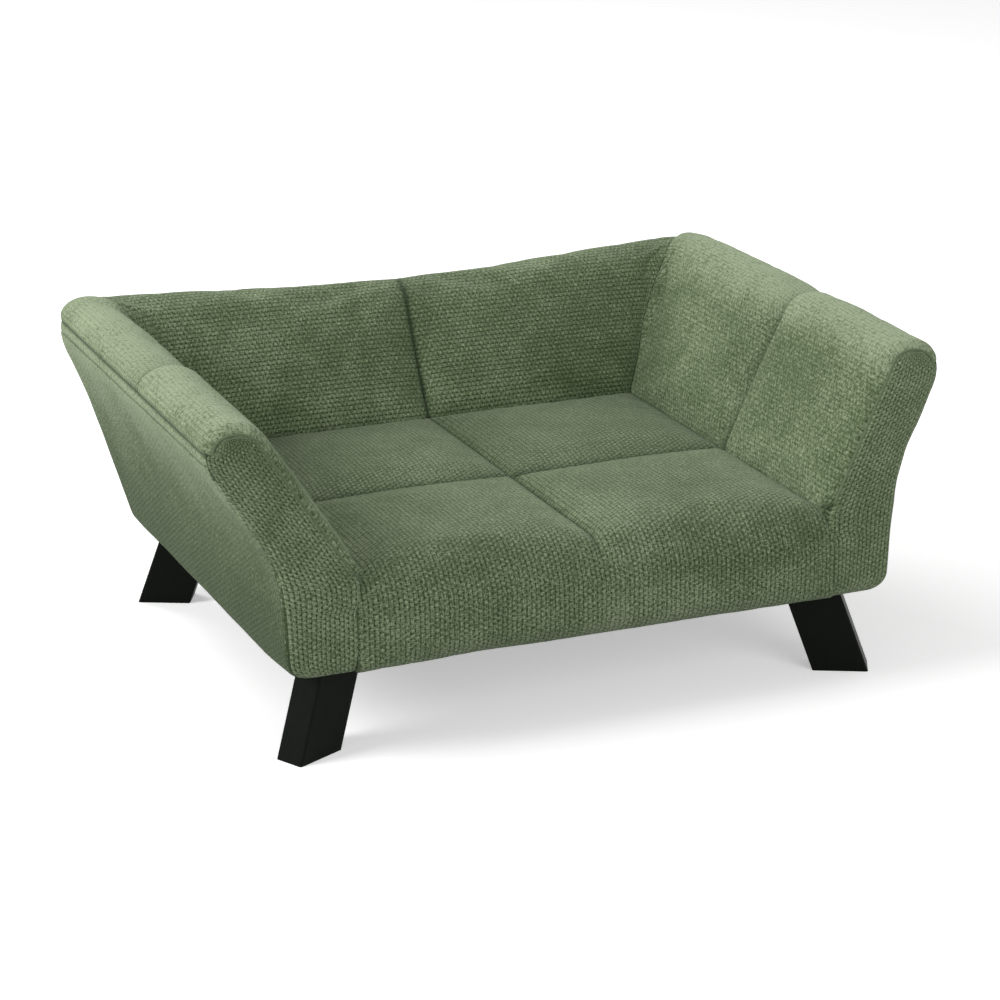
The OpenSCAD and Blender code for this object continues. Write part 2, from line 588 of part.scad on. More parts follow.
// Foam of the back, following the dip of the crest
foam_clear = 1.8;
foam_row_shares = [0, 0.25, 0.5, 0.75, 1];
function back_foam_row(side, s, inner) = let (
    rise = back_rise(s * (crease_x + crest_w)),
    outline = moved(back_section(rise, back_seam_drop), -cover_t - foam_clear),
    top = rise - front_seam_drop - board_top_gap + foam_clear)
    [for (i = [0:section_last]) let (
        face_last = len(face_shares),
        h = i <= face_last ? lerp(-tuck, top, i / face_last) : top,
        across = max(0, i - face_last) / (section_last - face_last),
        p = inner ? [lerp(back_foam_out - fit_gap, back_board_out, across) + h * back_flare, h]
            : outline[i],
        reach = crease_x - corner_r / 2 + arm_reach(p))
        [side * s * reach, crease_y + p[0], seat_z + (i == 0 ? -tuck : p[1])]];
function back_foam_grid(inner) = concat(
    [for (k = [len(foam_row_shares) - 1:-1:1]) back_foam_row(-1, foam_row_shares[k], inner)],
    [for (s = foam_row_shares) back_foam_row(1, s, inner)]);
module back_foam() color(foam_colour) slab(back_foam_grid(true), back_foam_grid(false));

// Three gussets behind the back board
back_gusset_share = 0.7;
back_gusset_heights = [0.25, 0.4, 0.55, 0.7, 0.8, 0.88];
module back_gussets() color(board_colour)
    for (x = [-1, 0, 1] * (crease_x * back_gusset_share)) let (
        rise = back_rise(x),
        top = board_top_at(x) - fit_gap)
        translate([x - board_t / 2, crease_y, seat_z])
            rotate([90, 0, 90])
                linear_extrude(board_t)
                    polygon(concat(
                        [[back_board_out + top * back_flare, top],
                            [back_board_out - tuck * back_flare, -tuck], [rail_back_y - crease_y, -tuck]],
                        [for (u = back_gusset_heights)
                            [back_y(u, rise) - outer_t - panel_clear - crease_y,
                                lerp(leg_h, back_top(rise), u) - seat_z]]));

// Seat foam with a rounded front edge
foam_edge_angles = [0, 22.5, 45, 67.5, 90];
module seat_foam() color(foam_colour)
    translate([fit_gap - crease_x, 0, 0])
        rotate([90, 0, 90])
            linear_extrude(seat_w - 2 * fit_gap)
                polygon(concat(
                    [[crease_y - fit_gap, foam_top_z], [crease_y - fit_gap, stack_z],
                        [rail_front_y, stack_z]],
                    [for (a = reversed(foam_edge_angles)) let (
                        y = lerp(roll_y, rail_front_y, sin(a)),
                        z = lerp(stack_z, foam_top_z, cos(a)))
                        if (z > stack_z) [y, z]]));

// Base box: rails, a centre slat, corner blocks and the seat board on top
screw_d = 4;
screw_head_d = 8;
screw_head_h = 2.4;
rail_screw_l = 38;
board_screw_l = 30;
screw_gap = 0.1;
bolt_gap = 0.5;
nut_barrel_d = 11;
nut_barrel_l = 10;
nut_flange_d = 18;
nut_flange_t = 1.5;
bolt_stand = 3;
bolt_in_leg = 28;
block_screw_out = [6, 18];
block_screw_low = 12;
block_screw_rise = 20;
board_screw_x = 170;
leg_run = leg_h * tan(leg_slant);
bolt_x = rail_x - rail_t - nut_flange_d / 2 - nut_side_gap;
front_bolt_y = rail_front_y + rail_t + nut_flange_d / 2 + nut_end_gap;
rear_bolt_y = rail_back_y - rail_t - nut_flange_d / 2 - nut_end_gap;
foot_x = bolt_x + leg_run * cos(leg_turn);
front_foot_y = front_bolt_y - leg_run * sin(leg_turn);
rear_foot_y = rear_bolt_y + leg_run * sin(leg_turn);
block_top_z = rail_z + block_h;

// A countersunk screw along +Z, its head flush at the origin and its point upwards
module screw(length, gap) {
    cylinder(h = length + gap, d = screw_d + 2 * gap);
    cylinder(h = screw_head_h, d1 = screw_head_d + 2 * gap, d2 = screw_d + 2 * gap);
}
// Screws that fasten the rails to the right-hand blocks
module right_rail_screws(gap) {
    for (k = [0, 1]) {
        z = rail_z + block_screw_low + k * block_screw_rise;
        out = block_screw_out[k];
        for (end = [[block_front_y, 1], [block_back_y, -1]]) {
            translate([rail_x, end[0] + end[1] * out, z])
                rotate([0, -90, 0])
                    screw(rail_screw_l, gap);
            translate([block_x - out, end[1] > 0 ? rail_front_y : rail_back_y, z])
                rotate([end[1] > 0 ? -90 : 90, 0, 0])
                    screw(rail_screw_l, gap);
        }
    }
}
module rail_screws() color(steel_colour) both_sides() right_rail_screws(0);

module board_screw_row(gap) {
    for (x = [-1, 0, 1] * board_screw_x)
        for (y = [rail_front_y + rail_t / 2, rail_back_y - rail_t / 2])
            translate([x, y, stack_z])
                rotate([180, 0, 0])
                    screw(board_screw_l, gap);
    for (y = [-1, 1] * seat_d / 4)
        translate([0, y, stack_z])
            rotate([180, 0, 0])
                screw(board_screw_l, gap);
}
module board_screws() color(steel_colour) board_screw_row(0);

module rail_holes() {
    both_sides() right_rail_screws(screw_gap);
    board_screw_row(screw_gap);
}
module front_rail() color(wood_colour) difference() {
    translate([-rail_x, rail_front_y, rail_z])
        cube([2 * rail_x, rail_t, rail_h]);
    rail_holes();
}
module rear_rail() color(wood_colour) difference() {
    translate([-rail_x, rail_back_y - rail_t, rail_z])
        cube([2 * rail_x, rail_t, rail_h]);
    rail_holes();
}
module right_rail() color(wood_colour) difference() {
    translate([rail_x - rail_t, rail_front_y + rail_t, rail_z])
        cube([rail_t, rail_back_y - rail_front_y - 2 * rail_t, rail_h]);
    rail_holes();
}
module left_rail() mirror([1, 0, 0]) right_rail();
module centre_slat() color(wood_colour) difference() {
    translate([-rail_t / 2, rail_front_y + rail_t, rail_z])
        cube([rail_t, rail_back_y - rail_front_y - 2 * rail_t, rail_h]);
    board_screw_row(screw_gap);
}

// Places of the leg bolts on the right, as [x, y]
right_bolts = [[bolt_x, front_bolt_y], [bolt_x, rear_bolt_y]];
module corner_blocks() color(wood_colour) both_sides() difference() {
    for (y = [block_front_y, block_back_y])
        translate([block_x - block_w / 2, y - block_w / 2, rail_z])
            cube([block_w, block_w, block_h]);
    right_rail_screws(screw_gap);
    for (p = right_bolts)
        translate([p[0], p[1], 0]) {
            translate([0, 0, rail_z - overrun])
                cylinder(h = block_h + 2 * overrun, d = bolt_d + 2 * bolt_gap);
            translate([0, 0, block_top_z - nut_barrel_l])
                cylinder(h = nut_barrel_l + overrun, d = nut_barrel_d);
        }
}
module leg_nuts() color(steel_colour) both_sides()
    for (p = right_bolts)
        translate([p[0], p[1], block_top_z]) difference() {
            union() {
                translate([0, 0, -nut_barrel_l])
                    cylinder(h = nut_barrel_l, d = nut_barrel_d);
                cylinder(h = nut_flange_t, d = nut_flange_d);
            }
            translate([0, 0, -nut_barrel_l - overrun])
                cylinder(h = nut_barrel_l + 2 * overrun, d = bolt_d + 2 * screw_gap);
        }
module leg_bolts() color(steel_colour) both_sides()
    for (p = right_bolts)
        translate([p[0], p[1], leg_h - bolt_in_leg])
            cylinder(h = block_top_z + bolt_stand - leg_h + bolt_in_leg, d = bolt_d);

module seat_board() color(board_colour) difference() {
    translate([-rail_x, rail_front_y, board_z])
        cube([2 * rail_x, rail_back_y - rail_front_y, seat_board_t]);
    board_screw_row(screw_gap);
}
module dust_cover() color(lining_colour) difference() {
    translate([-rail_x, rail_front_y, leg_h])
        cube([2 * rail_x, rail_back_y - rail_front_y, dust_t]);
    both_sides()
        for (p = right_bolts)
            translate([p[0], p[1], leg_h - overrun])
                cylinder(h = 2 * overrun, d = bolt_d + 2 * bolt_gap);
}

// Slanted leg board: a round-edged bar along the slant, cut level at the top and the floor
leg_edge_r = 2;
leg_edge_angles = [0, 30, 60, 90];
function round_rect(w, d, r) = [for (q = [[1, 1, 0], [-1, 1, 90], [-1, -1, 180], [1, -1, 270]])
    for (a = leg_edge_angles)
        [q[0] * (w / 2 - r) + r * cos(q[2] + a), q[1] * (d / 2 - r) + r * sin(q[2] + a)]];
module leg() color(leg_colour) difference() {
    intersection() {
        rotate([0, leg_slant, 0])
            translate([0, 0, -overrun])
                linear_extrude(leg_h / cos(leg_slant) + 2 * overrun)
                    polygon(round_rect(leg_w * cos(leg_slant), leg_t, leg_edge_r));
        translate([-leg_w, -leg_t, 0])
            cube([2 * leg_w + leg_run, 2 * leg_t, leg_h]);
    }
    translate([leg_run, 0, leg_h - bolt_in_leg])
        cylinder(h = bolt_in_leg + overrun, d = bolt_d + 2 * screw_gap);
}
module front_left_leg() translate([-foot_x, front_foot_y, 0]) rotate([0, 0, leg_turn]) leg();
module front_right_leg() mirror([1, 0, 0]) front_left_leg();
module rear_left_leg() translate([-foot_x, rear_foot_y, 0]) rotate([0, 0, -leg_turn]) leg();
module rear_right_leg() mirror([1, 0, 0]) rear_left_leg();

front_rail();
rear_rail();
left_rail();
right_rail();
centre_slat();
corner_blocks();
seat_board();
seat_foam();
seat_cover();
left_arm_board();
right_arm_board();
left_front_former();
right_front_former();
left_rear_gusset();
right_rear_gusset();
left_arm_foam();
right_arm_foam();
left_arm_pad();
right_arm_pad();
left_arm_front();
right_arm_front();
back_board();
back_gussets();
back_foam();
back_pad();
left_outer_cover();
right_outer_cover();
back_outer_cover();
dust_cover();
front_left_leg();
front_right_leg();
rear_left_leg();
rear_right_leg();
leg_bolts();
leg_nuts();
rail_screws();
board_screws();
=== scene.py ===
"""Upholstered dog sofa: sewn chenille panels over a boarded frame on four slanted legs."""
import math

import bmesh
import bpy
import numpy as np
from mathutils import Matrix, Vector
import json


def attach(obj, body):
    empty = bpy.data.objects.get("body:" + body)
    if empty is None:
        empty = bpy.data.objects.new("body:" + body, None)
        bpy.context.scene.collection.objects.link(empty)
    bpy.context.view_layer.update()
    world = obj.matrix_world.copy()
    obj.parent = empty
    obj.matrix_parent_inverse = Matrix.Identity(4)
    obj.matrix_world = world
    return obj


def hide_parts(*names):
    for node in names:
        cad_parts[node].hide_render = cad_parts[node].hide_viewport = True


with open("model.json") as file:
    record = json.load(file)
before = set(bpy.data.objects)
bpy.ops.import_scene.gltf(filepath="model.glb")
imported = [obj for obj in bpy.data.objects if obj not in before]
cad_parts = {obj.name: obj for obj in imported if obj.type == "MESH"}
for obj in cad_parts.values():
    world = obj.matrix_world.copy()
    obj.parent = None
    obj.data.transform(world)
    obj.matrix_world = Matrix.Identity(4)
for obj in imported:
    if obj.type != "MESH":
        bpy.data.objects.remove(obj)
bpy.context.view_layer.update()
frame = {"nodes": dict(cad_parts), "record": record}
NODES = frame["nodes"]

# Sizes of the sofa in millimetres, as in the CAD source
SEAT_W = 444.0
SEAT_D = 416.0
SEAT_CROWN = 9.0
BAND_PROUD = 8.0
ROLL_R = 38.0
CROSS_SEAM_SHARE = 0.485
ARM_RISE = 135.0
CORNER_STEP = 11.5
BACK_DIP = 12.5
ARM_LEAN = math.radians(31.6)
FLARE = math.tan(ARM_LEAN)
BACK_FLARE = math.tan(math.radians(28.6))
CREST_W = 54.0
BACK_CREST_W = 42.0
ARM_BASE_T = 66.0
BACK_BASE_T = 98.0
CORNER_R = 42.0
LEAN = math.tan(math.radians(12.6))
LEAN_DROP = 7.0
FACE_CROWN = 5.0
COVER_T = 8.0
OUTER_T = 6.0
CHANNEL_D = 5.0
CHANNEL_W = 11.0
CREASE_D = 2.4
CREASE_W = 1.8
LEG_H = 84.0
CREST_DROP = 12.0
FRONT_SEAM_DROP = 22.0
REAR_SEAM_DROP = 18.0
BACK_SEAM_DROP = REAR_SEAM_DROP - CORNER_STEP
FIT_GAP = 0.3
STACK_Z = 142.0
FOAM_TOP_Z = 163.0
SEAT_Z = 175.0
RAIL_SIDE_IN = 26.0
RAIL_FRONT_IN = 14.0
RAIL_REAR_IN = 20.0
TUCK = SEAT_Z - STACK_Z
LEAN_Z = SEAT_Z - LEAN_DROP
CREASE_X = SEAT_W / 2
BACK_SHARE = BACK_CREST_W / CREST_W
FACE_TOP = ARM_RISE - CREST_DROP


def back_rise(x):
    """Height of the back crest above the seat seams, lower in the middle."""
    share = np.minimum(1, np.abs(x) / (CREASE_X + 2 * CREST_W))
    return ARM_RISE - CORNER_STEP - BACK_DIP * np.cos(math.pi / 2 * share) ** 2


ARM_OVERHANG = (ARM_RISE - CREST_DROP) * FLARE + CREST_W


def back_overhang(rise):
    return (rise - CREST_DROP) * BACK_FLARE + BACK_CREST_W


DEPTH = BAND_PROUD + SEAT_D + float(back_overhang(back_rise(CREASE_X + CREST_W)))
FRONT_Y = -DEPTH / 2
ARM_FRONT_Y = FRONT_Y + BAND_PROUD
CREASE_Y = ARM_FRONT_Y + SEAT_D
BASE_X = CREASE_X + ARM_BASE_T
BASE_Y = CREASE_Y + BACK_BASE_T
SEAM_Y = ARM_FRONT_Y + SEAT_D * CROSS_SEAM_SHARE
RAIL_X = BASE_X - RAIL_SIDE_IN
RAIL_FRONT_Y = ARM_FRONT_Y + RAIL_FRONT_IN
RAIL_BACK_Y = BASE_Y - RAIL_REAR_IN
BAND_BACK_Y = RAIL_FRONT_Y - FIT_GAP

# Sizes of the sewing and the padding, which only this scene has
MM = 1000
# Spacing of the points of a padded piece, before its last subdivision
GRID_STEP = 5.0
# Distances from a quilting seam at which the points lie closer together
SEAM_REACH = 11.0
NEAR_SEAM = np.array([0, 1.3, 2.8, 4.8, 7.5, SEAM_REACH])
# Radius to which the cloth turns in at a seam, at the rounded fronts of the arms and at the front corners
SEAM_ROLL = 1.0
FRONT_ROLL = 8.0
CORNER_EASE = 9.0
EASE_END = CORNER_EASE * (1 - math.sqrt(0.5))
# How far the mid seam of an arm leans back for its height above the seat
SEAM_LEAN = 0.19
PILLOW_POWER = 2.6
# Length over which the padding rises in front of a seam, and the one over which it falls off again
FULLER_RUN = 3.0
FULLER_FADE = 42.0
# Widths over which a quilting seam and the edge of a panel hold the padding down and pucker it
SEAM_HOLD_W = 8.0
EDGE_HOLD_W = 6.0
# Shares of the turn round a rear corner
ARC_SHARES = np.linspace(0, 1, 9)[1:]


def pillow(share):
    """Height of a padded panel across its width, one over most of it and nothing at both seams."""
    return 1 - np.abs(2 * np.clip(share, 0, 1) - 1) ** PILLOW_POWER


def channel(distance, width=CHANNEL_W):
    """One in a seam, falling off to both sides over the width."""
    return np.exp(-(distance / width) ** 2)


def shaded_line(distance, front_width, rear_width):
    """Painted shade of the fold at a seam, one in the seam itself; negative distances are in front of it."""
    return channel(distance, np.where(distance < 0, front_width, rear_width))


def sewn_groove(distance, front_width, rear_width):
    """Groove at a quilting seam: a sharp crease, steep on the fuller front side (negative distance)."""
    width = np.where(distance < 0, front_width, rear_width)
    return CHANNEL_D * channel(distance, width) + CREASE_D * channel(distance, CREASE_W)


def fuller_front(distance, rise, run=FULLER_RUN):
    """Extra height of the padding just in front of a seam (negative distance), fading forwards."""
    ahead = np.maximum(0, -distance)
    return rise * (1 - np.exp(-ahead / run)) * np.exp(-ahead / FULLER_FADE)


def stops(*ends):
    """Even stations between the given ends, about one grid step apart."""
    runs = []
    for start, end in zip(ends, ends[1:]):
        count = max(2, round(abs(end - start) / GRID_STEP))
        runs.extend(np.linspace(start, end, count, endpoint=False))
    runs.append(ends[-1])
    return np.array(runs)


def edge_roll(distance, radius=SEAM_ROLL):
    """How far a surface turns in at a distance from a seam."""
    near = np.clip(1 - distance / radius, 0, 1)
    return radius * (1 - np.sqrt(np.maximum(0, 1 - near ** 2)))


def ease(distance):
    """How far a face falls back near the rounded corner that it shares with its neighbour."""
    near = CORNER_EASE - np.clip(distance, 0, CORNER_EASE)
    return CORNER_EASE - np.sqrt(CORNER_EASE ** 2 - near ** 2)


def path_lengths(points):
    """Length run along a path up to each of its points."""
    steps = np.linalg.norm(np.diff(points, axis=0), axis=1)
    return np.concatenate([[0], np.cumsum(steps)])


def normals_left(path):
    """Unit directions square to a flat path, on its left."""
    ahead = np.vstack([path[1:], path[-1:]])
    behind = np.vstack([path[:1], path[:-1]])
    along = ahead - behind
    along /= np.linalg.norm(along, axis=1)[:, None]
    return np.stack([-along[:, 1], along[:, 0]], axis=1)


# Pulls of the curve over a crest at the top of the face and at the outer seam
CREST_INNER_PULL = 22.0
CREST_OUTER_PULL = 25.0


def crest_curve(rise, seam_drop):
    """Control points of the curve over a crest, from the top of the face to the outer seam."""
    top = rise - CREST_DROP
    start = np.array([top * FLARE, top])
    end_x, end_z = start[0] + CREST_W, rise - seam_drop
    up_face = np.array([math.sin(ARM_LEAN), math.cos(ARM_LEAN)])
    pull_in = start + CREST_INNER_PULL * up_face
    return np.array([start, pull_in, (end_x, end_z + CREST_OUTER_PULL), (end_x, end_z)])


def bezier(points, share):
    s = np.asarray(share)[:, None]
    return ((1 - s) ** 3 * points[0] + 3 * s * (1 - s) ** 2 * points[1]
            + 3 * s * s * (1 - s) * points[2] + s ** 3 * points[3])


# Places along the arm section, counted from the foot of the tuck over the face and the crest
FACE_FOOT = 1
FACE_HEAD = 6
SECTION_END = 13
PLACES = np.arange(SECTION_END + 1)
# Shares of the face and of the crest at those places, with their crown and channel shares
FACE_SHARES = [0, 0.12, 0.35, 0.6, 0.85, 1]
CREST_SHARES = [0, 0.15, 0.3, 0.45, 0.6, 0.75, 0.88, 1]
CROWN_SHARES = [0, 0, 0.45, 0.9, 1, 0.6, 0.25, 0.2, 0.2, 0.25, 0.3, 0.25, 0.1, 0]
CHANNEL_SHARES = [0.2, 0.5, 0.8, 1, 1, 1, 1, 1, 1, 1, 0.9, 0.8, 0.6, 0.2]
SECTION_PLACES = np.concatenate([
    np.linspace(0, FACE_FOOT, 7, endpoint=False), np.linspace(FACE_FOOT, FACE_HEAD, 29, endpoint=False),
    np.linspace(FACE_HEAD, SECTION_END, 23)])


def section(rise, seam_drop):
    """Arm section as [outward distance, height above the seat seams], at SECTION_PLACES."""
    top = rise - CREST_DROP
    place = SECTION_PLACES
    tuck = place < FACE_FOOT
    crest = place > FACE_HEAD
    face = ~tuck & ~crest
    points = np.zeros((len(place), 2))
    points[tuck, 1] = (FIT_GAP - TUCK) * (1 - place[tuck])
    share = np.interp(place[face], PLACES[FACE_FOOT:FACE_HEAD + 1], FACE_SHARES)
    points[face] = np.stack([top * FLARE * share, top * share], axis=1)
    share = np.interp(place[crest], PLACES[FACE_HEAD:], CREST_SHARES)
    points[crest] = bezier(crest_curve(rise, seam_drop), share)
    return points


def along_section(places, values):
    """Values at every point of the section, from those at some of its places."""
    return np.interp(SECTION_PLACES, places, values)


CROWNS = along_section(PLACES, CROWN_SHARES)
CHANNELS = along_section(PLACES, CHANNEL_SHARES)
# Over an arm's crest the mid seam is shallower and has less painted shade, with less and slower rising
# padding in front of it
ARM_CREST_EASE = along_section([6, 9, 11.5], [1, 0.95, 0.5])
ARM_FOLD_EASE = along_section([5.5, 8, 11.5], [0.85, 0.4, 0.2])
ARM_FULLER_EASE = along_section([5.5, 9, 12], [1, 0.5, 0.12])
ARM_FULLER_RUN = along_section([8.5, 11], [FULLER_RUN, 14])
# The seam of the back is shallow over its crest
BACK_CREST_EASE = along_section([3.5, 7], [1, 0.12])


def back_reach(points, top=FACE_TOP):
    """Distance of the back's section behind the crease, for points of the arm's section."""
    height = np.clip(points[:, 1], 0, top)
    return BACK_FLARE * height + (points[:, 0] - FLARE * height) * BACK_SHARE


def arm_reach(points):
    """Distance of the arm's section outside the crease, for points of the back's section."""
    height = np.clip(points[:, 1], 0, FACE_TOP)
    return FLARE * height + (points[:, 0] - BACK_FLARE * height) / BACK_SHARE


def back_section(rise, seam_drop):
    points = section(rise, seam_drop)
    return np.stack([back_reach(points, rise - CREST_DROP), points[:, 1]], axis=1)


# Radius of the rear corner at the crease, growing to that of the outer covers
CREASE_R = 0.6
MITRE = 45
# Degrees by which the mitre seam is off its straight line, at distances from the crease
MITRE_REACHES = [0, 10, 36, 60, 76]
MITRE_BOWS = [0, 10, 26, 13, 0]


def corner_radius(distance):
    """Radius of the rear corner at a distance from the crease."""
    return CREASE_R + (CORNER_R - CREASE_R) * np.clip(distance / (ARM_BASE_T + CREST_W), 0, 1)


def mitre_angle(reach):
    """Degrees round the rear corner that the arm padding takes up: its seam with the back is bowed."""
    return MITRE + np.interp(reach, MITRE_REACHES, MITRE_BOWS)


def arm_front(z):
    return ARM_FRONT_Y + np.maximum(0, z - LEAN_Z) * LEAN


def arm_seam(z):
    return SEAM_Y + np.maximum(0, z - LEAN_Z) * SEAM_LEAN


def shaped(base, amounts):
    """Path moved outwards by an amount at each point."""
    return base + normals_left(base) * amounts[:, None]


def lining(base):
    """Inner side of the padding along a path."""
    path = base - normals_left(base) * COVER_T
    path[-1] = base[-1] - [COVER_T, 0]
    return path


LUMP_WAVES = 9


def lumps(points, size, seed):
    """Smooth uneven field from about -1 to 1, in waves of about the given size."""
    rng = np.random.default_rng(seed)
    total = np.zeros(len(points))
    for _ in range(LUMP_WAVES):
        direction = rng.normal(size=3)
        direction /= np.linalg.norm(direction)
        wave = size * rng.uniform(0.7, 1.6)
        total += np.sin(points @ direction * (2 * math.pi / wave) + rng.uniform(0, 2 * math.pi))
    return total / (LUMP_WAVES / 2)


def smooth_lookup(share, table):
    """Cubic curve through the [share, value] rows of a table."""
    table = np.array(table, float)
    x, y = table[:, 0], table[:, 1]
    slope = np.gradient(y, x)
    i = np.clip(np.searchsorted(x, share, side="right") - 1, 0, len(x) - 2)
    width = x[i + 1] - x[i]
    t = np.clip((share - x[i]) / width, 0, 1)
    return ((2 * t ** 3 - 3 * t ** 2 + 1) * y[i] + (t ** 3 - 2 * t ** 2 + t) * width * slope[i]
            + (3 * t ** 2 - 2 * t ** 3) * y[i + 1] + (t ** 3 - t ** 2) * width * slope[i + 1])


def runs_along(grid):
    """Length run along the cloth from the first row to each point of a grid."""
    steps = np.linalg.norm(np.diff(grid, axis=0), axis=2)
    return np.concatenate([np.zeros((1, grid.shape[1])), np.cumsum(steps, axis=0)])


# How sharply the painted shade in a seam's fold ends beside the seam, and how much of the padding a seam
# holds still
FOLD_SHARPNESS = 28
HOLD_GAIN = 1.7
# Fill of the panels that are thick enough to swell
PADDING_FILL = 0.6
FRONT_FILL = 0.4
COVER_FILL = 0.3


class Panel:
    """A sewn panel: grids of its outside and its lining, its weave coordinates, its seams and its painted
    shade.
    """

    def __init__(self, name, node, outside, inside, weave, seam_rows, seam_cols, painted_shade, fill=PADDING_FILL):
        self.name = name
        self.node = node
        self.outside = np.array(outside, float)
        self.inside = np.array(inside, float)
        self.weave = np.array(weave, float)
        self.seam_rows = np.array(seam_rows, float)
        self.seam_cols = np.array(seam_cols, float)
        # Painted shade in the fold along every seam, on top of the painted shade that is given
        in_seam = FOLD_SHARPNESS * np.maximum(self.seam_rows, self.seam_cols) - (FOLD_SHARPNESS - 1)
        self.painted_shade = np.maximum(painted_shade, np.clip(in_seam, 0, 1))
        self.fill = fill

    def mirrored(self, name, node):
        turn = np.array([-1, 1, 1])
        return Panel(name, node, self.outside * turn, self.inside * turn, self.weave,
                     self.seam_rows, self.seam_cols, self.painted_shade, self.fill)

    def faces(self):
        """Quads of the outside, the lining and the rim between them, with the rim's points."""
        rows, cols = self.outside.shape[:2]
        count = rows * cols
        index = np.arange(count).reshape(rows, cols)
        corners = [index[:-1, :-1], index[1:, :-1], index[1:, 1:], index[:-1, 1:]]
        outside = np.stack(corners, -1).reshape(-1, 4)
        rim = np.concatenate([index[:-1, 0], index[-1, :-1], index[:0:-1, -1], index[0, :0:-1]])
        after = np.roll(rim, -1)
        joining = np.stack([after, rim, rim + count, after + count], -1)
        return np.vstack([outside, outside[:, ::-1] + count, joining]), rim

    def looseness(self):
        """How far the soft unevenness may move each point: nothing on the rim, half beside it."""
        loose = np.ones(self.outside.shape[:2])
        loose[1] = loose[-2] = loose[:, 1] = loose[:, -2] = 0.5
        loose[0] = loose[-1] = loose[:, 0] = loose[:, -1] = 0
        return loose

    def hold_seams(self, piece):
        """Vertex group that keeps the lining, the border and the seams still while the cloth swells."""
        rows, cols = self.outside.shape[:2]
        sewn = np.clip(HOLD_GAIN * np.maximum(self.seam_rows, self.seam_cols), 0, 1)
        sewn[:2] = sewn[-2:] = 1
        sewn[:, :2] = sewn[:, -2:] = 1
        hold = np.round(np.concatenate([sewn.ravel(), np.ones(rows * cols)]), 2)
        held = piece.vertex_groups.new(name="held")
        for level in np.unique(hold):
            held.add(np.nonzero(hold == level)[0].tolist(), float(level), "REPLACE")

    def build(self, material):
        """The panel as a piece in the scene, with its weave as a UV map and its seams and painted shade as
        attributes.
        """
        points = np.vstack([self.outside.reshape(-1, 3), self.inside.reshape(-1, 3)]) / MM
        faces, rim = self.faces()
        mesh = bpy.data.meshes.new(self.name)
        mesh.from_pydata(points.tolist(), [], faces.tolist())
        runs = np.vstack([self.weave.reshape(-1, 2)] * 2)
        corner = np.zeros(len(mesh.loops), np.int32)
        mesh.loops.foreach_get("vertex_index", corner)
        layer = mesh.uv_layers.new(name="weave")
        layer.data.foreach_set("uv", (runs / MM)[corner].astype(np.float32).ravel())
        values = {"run_u": runs[:, 0], "run_v": runs[:, 1]}
        fields = {"row_seam": self.seam_rows, "col_seam": self.seam_cols,
                  "loose": self.looseness(), "painted_shade": self.painted_shade}
        for title, field in fields.items():
            values[title] = np.concatenate([field.ravel(), np.zeros(field.size)])
        for title, value in values.items():
            mesh.attributes.new(title, "FLOAT", "POINT").data.foreach_set("value", value.astype(np.float32))
        crease_rim(mesh, set(rim.tolist()))
        mesh.materials.append(material)
        mesh.shade_smooth()
        piece = bpy.data.objects.new(self.name, mesh)
        bpy.context.scene.collection.objects.link(piece)
        self.hold_seams(piece)
        return piece


def crease_rim(mesh, on_rim):
    """Turns the faces outwards and keeps the edges of the rim sharp."""
    work = bmesh.new()
    work.from_mesh(mesh)
    bmesh.ops.recalc_face_normals(work, faces=work.faces)
    crease = work.edges.layers.float.new("crease_edge")
    for edge in work.edges:
        if {vert.index for vert in edge.verts} <= on_rim:
            edge[crease] = 1.0
            edge.smooth = False
    work.to_mesh(mesh)
    work.free()


def coordinates(mesh):
    flat = np.zeros(len(mesh.vertices) * 3, np.float32)
    mesh.vertices.foreach_get("co", flat)
    return flat.reshape(-1, 3).astype(float)


def set_coordinates(mesh, points):
    mesh.vertices.foreach_set("co", points.astype(np.float32).ravel())
    mesh.update()


PUFF_PRESSURE = 4.0
PUFF_LIMIT = 0.0024
PUFF_STEPS = 18


def puff(pieces):
    """Swells the cloth of every panel between its seams, as its wadding does."""
    rest = {piece.name: coordinates(piece.data) for piece in pieces}
    for piece in pieces:
        cloth = piece.modifiers.new("cloth", "CLOTH")
        settings = cloth.settings
        settings.quality = 4
        settings.mass = 0.4
        settings.tension_stiffness = 20
        settings.compression_stiffness = 20
        settings.shear_stiffness = 8
        settings.bending_stiffness = 2.0
        settings.vertex_group_mass = "held"
        settings.use_pressure = True
        settings.uniform_pressure_force = PUFF_PRESSURE
        settings.shrink_min = -0.003
        settings.effector_weights.gravity = 0
        cloth.collision_settings.use_collision = False
        cloth.collision_settings.use_self_collision = False
        cloth.point_cache.frame_end = PUFF_STEPS
    scene = bpy.context.scene
    for step in range(1, PUFF_STEPS + 1):
        scene.frame_set(step)
    graph = bpy.context.evaluated_depsgraph_get()
    for piece in pieces:
        settled = coordinates(piece.evaluated_get(graph).data)
        move = settled - rest[piece.name]
        length = np.linalg.norm(move, axis=1)[:, None]
        move *= np.minimum(1, PUFF_LIMIT / np.maximum(length, 1e-9))
        piece.modifiers.clear()
        set_coordinates(piece.data, rest[piece.name] + move)
    scene.frame_set(1)


def attribute(mesh, title):
    values = np.zeros(len(mesh.vertices), np.float32)
    mesh.attributes[title].data.foreach_get("value", values)
    return values.astype(float)


def plain_mesh(piece):
    """Turns the evaluated piece, its modifiers included, into its own mesh."""
    graph = bpy.context.evaluated_depsgraph_get()
    mesh = bpy.data.meshes.new_from_object(piece.evaluated_get(graph), depsgraph=graph)
    piece.modifiers.clear()
    piece.data = mesh
    return mesh


# Puckers along the seams in metres, their wave in millimetres and how far the waves drift
PUCKER = 0.0003
PUCKER_WAVE = 13.0
PUCKER_DRIFT = 2.2
DRIFT_WAVE = 60
# Soft unevenness of the padding in metres, in waves and in shorter waves in millimetres
LUMP = 0.00045
LUMP_SIZE = 90
SMALL_LUMP_SIZE = 34
SMALL_LUMP_SHARE = 0.25
